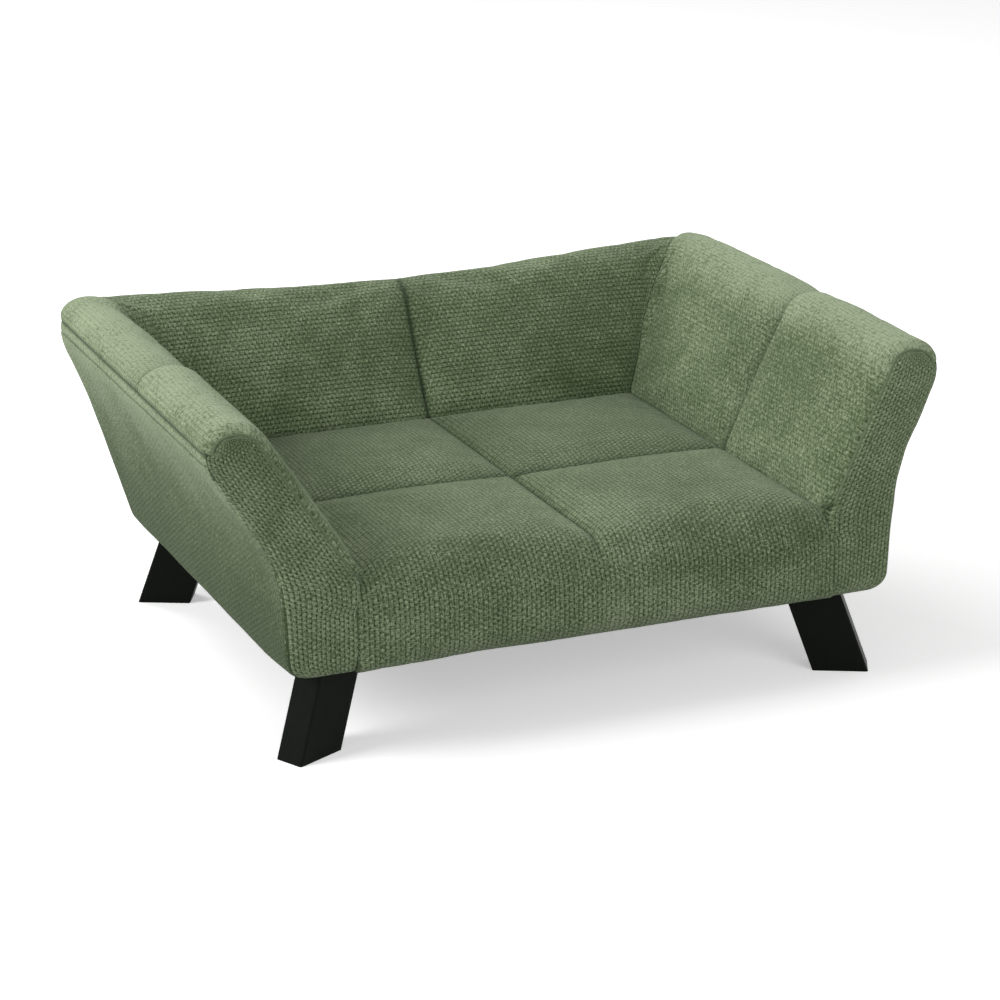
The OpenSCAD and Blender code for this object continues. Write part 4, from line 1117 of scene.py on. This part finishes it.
def blend_colours(nodes, links, factor, first, second):
    node = nodes.new("ShaderNodeMix")
    node.data_type = "RGBA"
    for socket, value in ((node.inputs[0], factor), (node.inputs[6], first), (node.inputs[7], second)):
        if isinstance(value, (tuple, float, int)):
            socket.default_value = value
        else:
            links.new(value, socket)
    return node.outputs[2]


def noise_value(nodes, links, vector, scale, detail=2.0, roughness=0.5):
    node = nodes.new("ShaderNodeTexNoise")
    if isinstance(scale, (int, float)):
        node.inputs["Scale"].default_value = scale
    else:
        links.new(scale, node.inputs["Scale"])
    node.inputs["Detail"].default_value = detail
    node.inputs["Roughness"].default_value = roughness
    links.new(vector, node.inputs["Vector"])
    return node.outputs["Fac"]


def group_inputs(group, values):
    """Give a node group its inputs, each as (name, kind, default or None)."""
    for name, kind, value in values:
        socket = group.interface.new_socket(name, in_out="INPUT", socket_type=kind)
        if value is not None:
            socket.default_value = value


KNOB_MIDDLE = 0.65


def chenille_weave_group():
    """Waffle weave of thick chenille: beaded ribs, dark holes between them, flecks and a soft pile."""
    group = bpy.data.node_groups.new("chenille_weave", "ShaderNodeTree")
    group_inputs(group, (
        ("Weave", "NodeSocketVector", None), ("Place", "NodeSocketVector", None),
        ("Cell Width", "NodeSocketFloat", 0.0045), ("Cell Height", "NodeSocketFloat", 0.0047),
        ("Waver", "NodeSocketFloat", 0.2), ("Open", "NodeSocketFloat", 1.0),
        ("Strand Scale", "NodeSocketFloat", 700)))
    for name in ("Knob", "Hole", "Pile", "Fleck", "Nap"):
        group.interface.new_socket(name, in_out="OUTPUT", socket_type="NodeSocketFloat")
    nodes, links = group.nodes, group.links
    start = nodes.new("NodeGroupInput")
    end = nodes.new("NodeGroupOutput")

    def calc(operation, *values):
        return math_node(nodes, links, operation, *values)

    split = nodes.new("ShaderNodeSeparateXYZ")
    links.new(start.outputs["Weave"], split.inputs[0])
    waver_u = calc("SUBTRACT", noise_value(nodes, links, start.outputs["Place"], 210, 2), 0.5)
    waver_v = calc("SUBTRACT", noise_value(nodes, links, start.outputs["Place"], 330, 2), 0.5)
    u = calc("ADD", calc("DIVIDE", split.outputs[0], start.outputs["Cell Width"]),
             calc("MULTIPLY", waver_u, start.outputs["Waver"]))
    v = calc("ADD", calc("DIVIDE", split.outputs[1], start.outputs["Cell Height"]),
             calc("MULTIPLY", waver_v, start.outputs["Waver"]))
    groove_index = calc("FLOOR", calc("ADD", u, 0.5))
    from_groove = calc("ABSOLUTE", calc("SUBTRACT", u, groove_index))
    groove = calc("SUBTRACT", 1.0, calc("MULTIPLY", from_groove, 3.7))
    groove.node.use_clamp = True

    def beads(index):
        """Beads along one rib or groove, half a step further on every second one."""
        step = calc("MULTIPLY", calc("MODULO", calc("ABSOLUTE", index), 2.0), 0.5)
        middle = calc("ABSOLUTE", calc("SUBTRACT", calc("FRACT", calc("ADD", v, step)), 0.5))
        bead = calc("SUBTRACT", 1.0, calc("MULTIPLY", middle, 3.0))
        bead.node.use_clamp = True
        return bead

    open_share = noise_value(nodes, links, start.outputs["Place"], 150, 2)
    opening = calc("MULTIPLY", calc("MULTIPLY_ADD", open_share, 3.0, -0.2), start.outputs["Open"])
    deep = calc("MULTIPLY_ADD", beads(groove_index), 0.95, 0.08)
    hole = calc("MULTIPLY", calc("MULTIPLY", groove, deep), opening)
    hole.node.use_clamp = True
    knob = calc("MULTIPLY", calc("MULTIPLY_ADD", groove, -0.5, 1.0),
                calc("MULTIPLY_ADD", beads(calc("FLOOR", u)), -0.65, 1.0))
    knob = calc("MULTIPLY_ADD", calc("SUBTRACT", knob, KNOB_MIDDLE), start.outputs["Open"], KNOB_MIDDLE)
    pile = noise_value(nodes, links, start.outputs["Place"], 1300, 3, 0.65)
    strands = []
    for stretch in ((1, 0.34, 1), (0.34, 1, 1)):
        stretched = nodes.new("ShaderNodeVectorMath")
        stretched.operation = "MULTIPLY"
        stretched.inputs[1].default_value = stretch
        links.new(start.outputs["Weave"], stretched.inputs[0])
        strands.append(noise_value(nodes, links, stretched.outputs[0], start.outputs["Strand Scale"], 2, 0.6))
    fleck = calc("MULTIPLY", calc("ADD", *strands), 0.5)
    nap_wide = noise_value(nodes, links, start.outputs["Place"], 9, 3, 0.55)
    nap_small = noise_value(nodes, links, start.outputs["Place"], 45, 3, 0.6)
    nap = calc("ADD", calc("MULTIPLY", nap_wide, 0.6), calc("MULTIPLY", nap_small, 0.4))
    for name, value in (("Knob", knob), ("Hole", hole), ("Pile", pile), ("Fleck", fleck), ("Nap", nap)):
        links.new(value, end.inputs[name])
    return group


CHENILLE_DARK = (0.047, 0.074, 0.031, 1)
CHENILLE_MID = (0.128, 0.178, 0.088, 1)
CHENILLE_PALE = (0.375, 0.445, 0.285, 1)
# Colour of the holes in the weave, and also the colour towards which the painted shade darkens the cloth
CHENILLE_HOLE_AND_SHADE = (0.024, 0.038, 0.018, 1)
SHEEN_TINT = (0.72, 0.82, 0.62, 1)
# Weight of the parts of the weave in the colour of the cloth, and the darkness of the painted shade
KNOB_WEIGHT = 0.36
PILE_WEIGHT = 0.7
NAP_WEIGHT = 1.05
PAINTED_SHADE_WEIGHT = 0.8


def chenille(group, name, low, high, fleck=2.5, strand_scale=780):
    """The sofa's cloth, with (height, openness of its weave, painted paleness) low and high on a piece."""
    material, nodes, links, shader = new_material(name)
    place = nodes.new("ShaderNodeTexCoord").outputs["Object"]
    weave = nodes.new("ShaderNodeUVMap")
    weave.uv_map = "weave"
    cloth = nodes.new("ShaderNodeGroup")
    cloth.node_tree = group
    links.new(weave.outputs[0], cloth.inputs["Weave"])
    links.new(place, cloth.inputs["Place"])
    cloth.inputs["Strand Scale"].default_value = strand_scale
    split = nodes.new("ShaderNodeSeparateXYZ")
    links.new(place, split.inputs[0])
    by_height = []
    for k in (1, 2):
        height = nodes.new("ShaderNodeMapRange")
        for socket, value in zip(height.inputs[1:5], (low[0], high[0], low[k], high[k])):
            socket.default_value = value
        links.new(split.outputs["Z"], height.inputs["Value"])
        by_height.append(height.outputs[0])
    links.new(by_height[0], cloth.inputs["Open"])
    # Paleness by height: painted light on tops and crests, painted shade towards the foot, partly brushed nap
    shade = math_node(nodes, links, "ADD", by_height[1], 0.5)
    weights = (("Knob", KNOB_WEIGHT), ("Fleck", fleck), ("Pile", PILE_WEIGHT), ("Nap", NAP_WEIGHT))
    for output, weight in weights:
        middle = KNOB_MIDDLE if output == "Knob" else 0.5
        part = math_node(nodes, links, "MULTIPLY", math_node(
            nodes, links, "SUBTRACT", cloth.outputs[output], middle), weight)
        shade = math_node(nodes, links, "ADD", shade, part)
    to_mid = math_node(nodes, links, "MULTIPLY", shade, 2.0)
    to_mid.node.use_clamp = True
    to_pale = math_node(nodes, links, "MULTIPLY_ADD", shade, 2.0, -1.0)
    to_pale.node.use_clamp = True
    colour = blend_colours(nodes, links, to_mid, CHENILLE_DARK, CHENILLE_MID)
    colour = blend_colours(nodes, links, to_pale, colour, CHENILLE_PALE)
    colour = blend_colours(nodes, links, cloth.outputs["Hole"], colour, CHENILLE_HOLE_AND_SHADE)
    # Painted shade, read from the piece's attribute, darkens the cloth towards the colour of the holes
    painted_shade = nodes.new("ShaderNodeAttribute")
    painted_shade.attribute_name = "painted_shade"
    painted_shade_share = math_node(nodes, links, "MULTIPLY", painted_shade.outputs["Fac"], PAINTED_SHADE_WEIGHT)
    colour = blend_colours(nodes, links, painted_shade_share, colour, CHENILLE_HOLE_AND_SHADE)
    links.new(colour, shader.inputs["Base Color"])
    relief = math_node(nodes, links, "ADD", cloth.outputs["Knob"],
                       math_node(nodes, links, "MULTIPLY_ADD", cloth.outputs["Fleck"], 1.2,
                                 math_node(nodes, links, "MULTIPLY", cloth.outputs["Pile"], 0.5)))
    bump = nodes.new("ShaderNodeBump")
    bump.inputs["Strength"].default_value = 0.9
    bump.inputs["Distance"].default_value = 0.0012
    links.new(relief, bump.inputs["Height"])
    links.new(bump.outputs[0], shader.inputs["Normal"])
    shader.inputs["Roughness"].default_value = 0.95
    shader.inputs["Specular IOR Level"].default_value = 0.04
    shader.inputs["Sheen Weight"].default_value = 0.35
    shader.inputs["Sheen Roughness"].default_value = 0.45
    shader.inputs["Sheen Tint"].default_value = SHEEN_TINT
    return material


def grainy(name, dark, pale, stretch, scale, roughness, depth, metallic=0.0):
    """Wood, board, paint, foam, lining, thread or metal: a streaked or mottled colour with a fine relief."""
    material, nodes, links, shader = new_material(name)
    place = nodes.new("ShaderNodeTexCoord").outputs["Object"]
    mapping = nodes.new("ShaderNodeMapping")
    mapping.inputs["Scale"].default_value = stretch
    links.new(place, mapping.inputs["Vector"])
    streak = noise_value(nodes, links, mapping.outputs[0], scale, 5, 0.6)
    links.new(blend_colours(nodes, links, streak, dark, pale), shader.inputs["Base Color"])
    rough = math_node(nodes, links, "MULTIPLY_ADD", streak, 0.16, roughness - 0.08)
    links.new(rough, shader.inputs["Roughness"])
    bump = nodes.new("ShaderNodeBump")
    bump.inputs["Strength"].default_value = 0.5
    bump.inputs["Distance"].default_value = depth
    links.new(streak, bump.inputs["Height"])
    links.new(bump.outputs[0], shader.inputs["Normal"])
    shader.inputs["Metallic"].default_value = metallic
    return material


weave_group = chenille_weave_group()
# Painted light and shade by height: seat band paler than its top, back a little paler at the top, arm crests
# and cover tops painted light, covers painted darker towards the foot; partly brushed nap
SEAT_CHENILLE = chenille(weave_group, "sage_chenille_seat", (0.118, 0.9, 0.09), (0.150, 0.9, 0.0), 3.1)
BACK_CHENILLE = chenille(weave_group, "sage_chenille_back", (0.18, 0.95, 0.0), (0.30, 0.85, 0.03))
ARM_CHENILLE = chenille(weave_group, "sage_chenille_arm", (0.275, 0.5, 0.06), (0.312, 0.35, 0.46), 2.6, 540)
OUTER_CHENILLE = chenille(
    weave_group, "sage_chenille_outer", (0.10, 0.9, -0.60), (0.27, 0.45, 0.42), 3.4, 620)
FRONT_CHENILLE = chenille(weave_group, "sage_chenille_front", (0.10, 1.0, 0.08), (0.30, 1.0, 0.06))
CORD_PALE = (0.20, 0.26, 0.145, 1)
CORD_CLOTH = grainy("chenille_on_cord", CHENILLE_DARK, CORD_PALE, (1, 1, 1), 420, 0.92, 0.0009)
THREAD = grainy(
    "sewing_thread", (0.030, 0.044, 0.022, 1), (0.060, 0.082, 0.044, 1), (1, 1, 1), 900, 0.7, 0.0002)
PAINTED = grainy("black_satin_paint", (0.0022, 0.0034, 0.0020, 1), (0.0050, 0.0070, 0.0046, 1), (1, 1, 0.12),
                 160, 0.40, 0.00008)
PAINTED.node_tree.nodes["Principled BSDF"].inputs["Specular IOR Level"].default_value = 0.06
SOFTWOOD = grainy(
    "planed_softwood", (0.44, 0.28, 0.14, 1), (0.68, 0.49, 0.29, 1), (0.1, 1, 1), 120, 0.6, 0.0002)
PLYWOOD = grainy(
    "sanded_plywood", (0.38, 0.24, 0.13, 1), (0.56, 0.39, 0.22, 1), (1, 0.15, 1), 90, 0.65, 0.0002)
FOAM = grainy("foam", (0.74, 0.66, 0.42, 1), (0.88, 0.82, 0.60, 1), (1, 1, 1), 700, 0.95, 0.0006)
LINING = grainy(
    "black_lining", (0.006, 0.006, 0.006, 1), (0.020, 0.020, 0.020, 1), (1, 1, 1), 1100, 0.85, 0.0004)
ZINC = grainy(
    "zinc_steel", (0.42, 0.42, 0.40, 1), (0.66, 0.66, 0.63, 1), (1, 1, 0.1), 400, 0.35, 0.00005, metallic=1.0)

FINISHES = {
    "frame_wood": SOFTWOOD, "board": PLYWOOD, "foam": FOAM, "lining": LINING, "leg": PAINTED, "steel": ZINC,
    "fabric": SEAT_CHENILLE}
for part in frame["record"]["subparts"]:
    node = NODES[part["node"]]
    node.data.materials.clear()
    node.data.materials.append(FINISHES[part["material_slot"]])

# Panels
right_arm = arm_pad()
right_cover = outer_cover(True)
right_front = front_panel()
seat = seat_pad()
back = back_pad()
back_cover = outer_cover(False)
panels = [
    seat, back, back_cover, right_arm, right_cover, right_front,
    right_arm.mirrored("left_arm_padding", "left_arm_pad"),
    right_cover.mirrored("left_outer_panel", "left_outer_cover"),
    right_front.mirrored("left_arm_front_panel", "left_arm_front")]
CLOTHS = [SEAT_CHENILLE, BACK_CHENILLE, OUTER_CHENILLE, ARM_CHENILLE, OUTER_CHENILLE, FRONT_CHENILLE,
          ARM_CHENILLE, OUTER_CHENILLE, FRONT_CHENILLE]
pieces = [panel.build(cloth) for panel, cloth in zip(panels, CLOTHS)]
puff([piece for panel, piece in zip(panels, pieces) if panel.fill == PADDING_FILL])
for seed, (panel, piece) in enumerate(zip(panels, pieces)):
    finish_panel(piece, seed)
    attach(piece, "root")
    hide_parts(panel.node)


# Stitches, welts and staples
def line_group(name, inputs):
    """Geometry node group for a mesh of lines, with the outputs of its start and the lines as a curve."""
    group = bpy.data.node_groups.new(name, "GeometryNodeTree")
    group_inputs(group, (
        ("Geometry", "NodeSocketGeometry", None), *inputs, ("Material", "NodeSocketMaterial", None)))
    group.interface.new_socket("Geometry", in_out="OUTPUT", socket_type="NodeSocketGeometry")
    start = group.nodes.new("NodeGroupInput").outputs
    curve = group.nodes.new("GeometryNodeMeshToCurve")
    group.links.new(start["Geometry"], curve.inputs[0])
    return group, start, curve.outputs[0]


def end_group(group, start, geometry):
    """Shade the geometry smooth, paint it with the group's material and give it out."""
    nodes, links = group.nodes, group.links
    smooth = nodes.new("GeometryNodeSetShadeSmooth")
    paint = nodes.new("GeometryNodeSetMaterial")
    links.new(geometry, smooth.inputs["Geometry"])
    links.new(smooth.outputs[0], paint.inputs["Geometry"])
    links.new(start["Material"], paint.inputs["Material"])
    links.new(paint.outputs[0], nodes.new("NodeGroupOutput").inputs[0])


def stitch_tree():
    """Short thick threads laid end to end along every line of the mesh that it is given."""
    group, start, curve = line_group("stitches", (
        ("Pitch", "NodeSocketFloat", 0.0045), ("Length", "NodeSocketFloat", 0.0034),
        ("Radius", "NodeSocketFloat", 0.00045)))
    nodes, links = group.nodes, group.links
    spread = nodes.new("GeometryNodeCurveToPoints")
    spread.mode = "LENGTH"
    links.new(curve, spread.inputs["Curve"])
    links.new(start["Pitch"], spread.inputs["Length"])
    bead = nodes.new("GeometryNodeMeshUVSphere")
    bead.inputs["Segments"].default_value = 6
    bead.inputs["Rings"].default_value = 4
    bead.inputs["Radius"].default_value = 1.0
    size = nodes.new("ShaderNodeCombineXYZ")
    links.new(start["Radius"], size.inputs["X"])
    links.new(start["Radius"], size.inputs["Y"])
    links.new(math_node(nodes, links, "MULTIPLY", start["Length"], 0.5), size.inputs["Z"])
    threads = nodes.new("GeometryNodeInstanceOnPoints")
    links.new(spread.outputs["Points"], threads.inputs["Points"])
    links.new(spread.outputs["Rotation"], threads.inputs["Rotation"])
    links.new(bead.outputs["Mesh"], threads.inputs["Instance"])
    links.new(size.outputs[0], threads.inputs["Scale"])
    realize = nodes.new("GeometryNodeRealizeInstances")
    links.new(threads.outputs[0], realize.inputs[0])
    end_group(group, start, realize.outputs[0])
    return group


def welt_tree():
    """A round cord covered in cloth along every line of the mesh that it is given."""
    group, start, curve = line_group("welts", (("Radius", "NodeSocketFloat", 0.002),))
    nodes, links = group.nodes, group.links
    even = nodes.new("GeometryNodeResampleCurve")
    even.mode = "LENGTH"
    even.inputs["Length"].default_value = 0.003
    links.new(curve, even.inputs["Curve"])
    ring = nodes.new("GeometryNodeCurvePrimitiveCircle")
    ring.inputs["Resolution"].default_value = 12
    links.new(start["Radius"], ring.inputs["Radius"])
    tube = nodes.new("GeometryNodeCurveToMesh")
    tube.inputs["Fill Caps"].default_value = True
    links.new(even.outputs[0], tube.inputs["Curve"])
    links.new(ring.outputs[0], tube.inputs["Profile Curve"])
    end_group(group, start, tube.outputs[0])
    return group


def lines_piece(name, lines, tree, slot, **values):
    """A piece made by a geometry tree along lines given in millimetres."""
    points, edges = [], []
    for line in lines:
        first = len(points)
        points.extend((np.asarray(line) / MM).tolist())
        edges.extend((first + i, first + i + 1) for i in range(len(line) - 1))
    mesh = bpy.data.meshes.new(name)
    mesh.from_pydata(points, edges, [])
    piece = bpy.data.objects.new(name, mesh)
    bpy.context.scene.collection.objects.link(piece)
    modifier = piece.modifiers.new("lay", "NODES")
    modifier.node_group = tree
    for item in tree.interface.items_tree:
        if item.item_type == "SOCKET" and item.in_out == "INPUT" and item.name in values:
            modifier[item.identifier] = values[item.name]
    plain_mesh(piece)
    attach(piece, "root")
    return piece


def flip(line):
    """The same line on the left side."""
    return np.asarray(line) * [-1, 1, 1]


WELT_R = 0.0016
WELT_SETBACK = 0.7
WELT_START = 1.2


def add_welts():
    """The covered cords at the front edge of the arms' padding."""
    path = section(ARM_RISE, FRONT_SEAM_DROP)
    path = path - normals_left(path) * (COVER_T + FIT_GAP)
    path = path[SECTION_PLACES >= WELT_START]
    z = SEAT_Z + path[:, 1]
    welt = np.stack([CREASE_X + path[:, 0], arm_front(z) + WELT_SETBACK, z], axis=1)
    lines_piece("arm_front_welts", [welt, flip(welt)], welt_tree(), "fabric", Radius=WELT_R,
                Material=CORD_CLOTH)


def add_topstitch():
    """The stitches below the outer seam of the arms and the back."""
    side = right_cover.outside[3:-1, TOPSTITCH_ROW]
    rear = back_cover.outside[1:-1, TOPSTITCH_ROW]
    lines_piece("outer_seam_topstitch", [side, flip(side), rear], stitches, "fabric", Material=THREAD)


# The stitches of the arms and the back run between these columns, those of the seat end before its roll
SEAM_COLUMNS = slice(9, -3)
ROLL_STITCHES = 20.0
# Columns of the arm and the seat on which the row of a seam is found, and the rows on top of the seat
ARM_COLUMN = 20
SEAT_COLUMN = 5
SEAT_TOP_ROWS = 60


def add_channel_stitches():
    """The stitches in the quilting seams of the seat, the arms and the back."""
    centre = seat.outside.shape[1] // 2
    cross_row = nearest(seat.outside[:SEAT_TOP_ROWS, SEAT_COLUMN, 1], SEAM_Y)
    roll_row = nearest(seat.outside[:, centre, 1], ROLL_Y - ROLL_STITCHES)
    column = right_arm.outside[:, ARM_COLUMN]
    arm_line = right_arm.outside[nearest(column[:, 1], arm_seam(column[:, 2])), SEAM_COLUMNS]
    lines = [seat.outside[cross_row, 2:-2], seat.outside[3:roll_row, centre], arm_line, flip(arm_line),
             back.outside[back.outside.shape[0] // 2, SEAM_COLUMNS]]
    lines_piece("channel_stitches", lines, stitches, "fabric", Length=0.0030, Radius=0.0003, Material=THREAD)


STAPLE_INSET = 8.0
STAPLE_CORNER = 20.0
STAPLE_Z = LEG_H - 0.1


def add_staples():
    """The staples round the edge of the lining underneath."""
    x = RAIL_X - STAPLE_INSET
    low_y, high_y = RAIL_FRONT_Y + STAPLE_INSET, RAIL_BACK_Y - STAPLE_INSET
    lines = [[(-x, y, STAPLE_Z), (x, y, STAPLE_Z)] for y in (low_y, high_y)]
    lines += [[(side, low_y + STAPLE_CORNER, STAPLE_Z), (side, high_y - STAPLE_CORNER, STAPLE_Z)]
              for side in (-x, x)]
    lines_piece("dust_cover_staples", lines, stitches, "steel", Pitch=0.045, Length=0.010, Radius=0.0005,
                Material=ZINC)


stitches = stitch_tree()
add_welts()
add_topstitch()
add_channel_stitches()
add_staples()


# Floor, light and camera
FLOOR_LIT = (0.42, 0.42, 0.42, 1)
FLOOR_SEEN = (0.95, 0.95, 0.95, 1)
FLOOR_GLOW = 0.42
SKY_LIGHT = 0.36
SKY_SEEN = 1.0


def background_share(nodes, links):
    """One for rays that show the background: straight from the camera, mirrored or through glass."""
    path = nodes.new("ShaderNodeLightPath").outputs
    share = math_node(nodes, links, "ADD", path["Is Camera Ray"], path["Is Glossy Ray"])
    share = math_node(nodes, links, "ADD", share, path["Is Transmission Ray"])
    share.node.use_clamp = True
    return share


def stage_floor():
    """White floor that gives back less light than it shows, and can be looked through from below."""
    bpy.ops.mesh.primitive_plane_add(size=40)
    floor = bpy.context.object
    floor.name = "studio_floor"
    material, nodes, links, shader = new_material("studio_white")
    shader.inputs["Roughness"].default_value = 0.9
    shader.inputs["Specular IOR Level"].default_value = 0.1
    seen = background_share(nodes, links)
    links.new(blend_colours(nodes, links, seen, FLOOR_LIT, FLOOR_SEEN), shader.inputs["Base Color"])
    shader.inputs["Emission Color"].default_value = (1, 1, 1, 1)
    links.new(math_node(nodes, links, "MULTIPLY", seen, FLOOR_GLOW), shader.inputs["Emission Strength"])
    underside = nodes.new("ShaderNodeNewGeometry").outputs["Backfacing"]
    see_through = nodes.new("ShaderNodeMixShader")
    links.new(underside, see_through.inputs[0])
    links.new(shader.outputs[0], see_through.inputs[1])
    links.new(nodes.new("ShaderNodeBsdfTransparent").outputs[0], see_through.inputs[2])
    links.new(see_through.outputs[0], nodes["Material Output"].inputs[0])
    floor.data.materials.append(material)


def area_light(name, place, size, power):
    data = bpy.data.lights.new(name, "AREA")
    data.shape = "DISK"
    data.size = size
    data.energy = power
    lamp = bpy.data.objects.new(name, data)
    bpy.context.scene.collection.objects.link(lamp)
    lamp.location = place
    lamp.rotation_euler = (Vector((0, 0, 0.15)) - Vector(place)).to_track_quat("-Z", "Y").to_euler()


stage_floor()
area_light("key", (-3.3, 0.0, 2.3), 1.8, 86)
area_light("fill", (0.8, -3.3, 1.5), 2.4, 44)
area_light("rear", (-0.9, 3.0, 2.3), 1.8, 56)

world = bpy.data.worlds.new("studio")
bpy.context.scene.world = world
world.use_nodes = True
sky, sky_links = world.node_tree.nodes, world.node_tree.links
plain = sky["Background"]
plain.inputs["Color"].default_value = (1, 1, 1, 1)
seen = background_share(sky, sky_links)
strength = math_node(sky, sky_links, "MULTIPLY_ADD", seen, SKY_SEEN - SKY_LIGHT, SKY_LIGHT)
sky_links.new(strength, plain.inputs["Strength"])

# Camera fitted to the photograph, with its focal length in millimetres on a 36 mm wide sensor
CAMERA_LENS = 108.33
CAMERA_PLACE = Vector((-1.0384, -2.5209, 1.0412))
CAMERA_RIGHT = Vector((0.92251938, -0.38589106, -0.00678877))
CAMERA_UP = Vector((0.12794515, 0.28917868, 0.94868632))
CAMERA_AHEAD = Vector((0.3641264, 0.8760501, -0.31614582))
camera_data = bpy.data.cameras.new("camera")
camera_data.lens = CAMERA_LENS
camera_data.sensor_width = 36.0
camera = bpy.data.objects.new("camera", camera_data)
bpy.context.scene.collection.objects.link(camera)
camera.matrix_world = Matrix((
    (CAMERA_RIGHT.x, CAMERA_UP.x, -CAMERA_AHEAD.x, CAMERA_PLACE.x),
    (CAMERA_RIGHT.y, CAMERA_UP.y, -CAMERA_AHEAD.y, CAMERA_PLACE.y),
    (CAMERA_RIGHT.z, CAMERA_UP.z, -CAMERA_AHEAD.z, CAMERA_PLACE.z),
    (0, 0, 0, 1)))
bpy.context.scene.camera = camera
bpy.context.scene.view_settings.view_transform = "Standard"
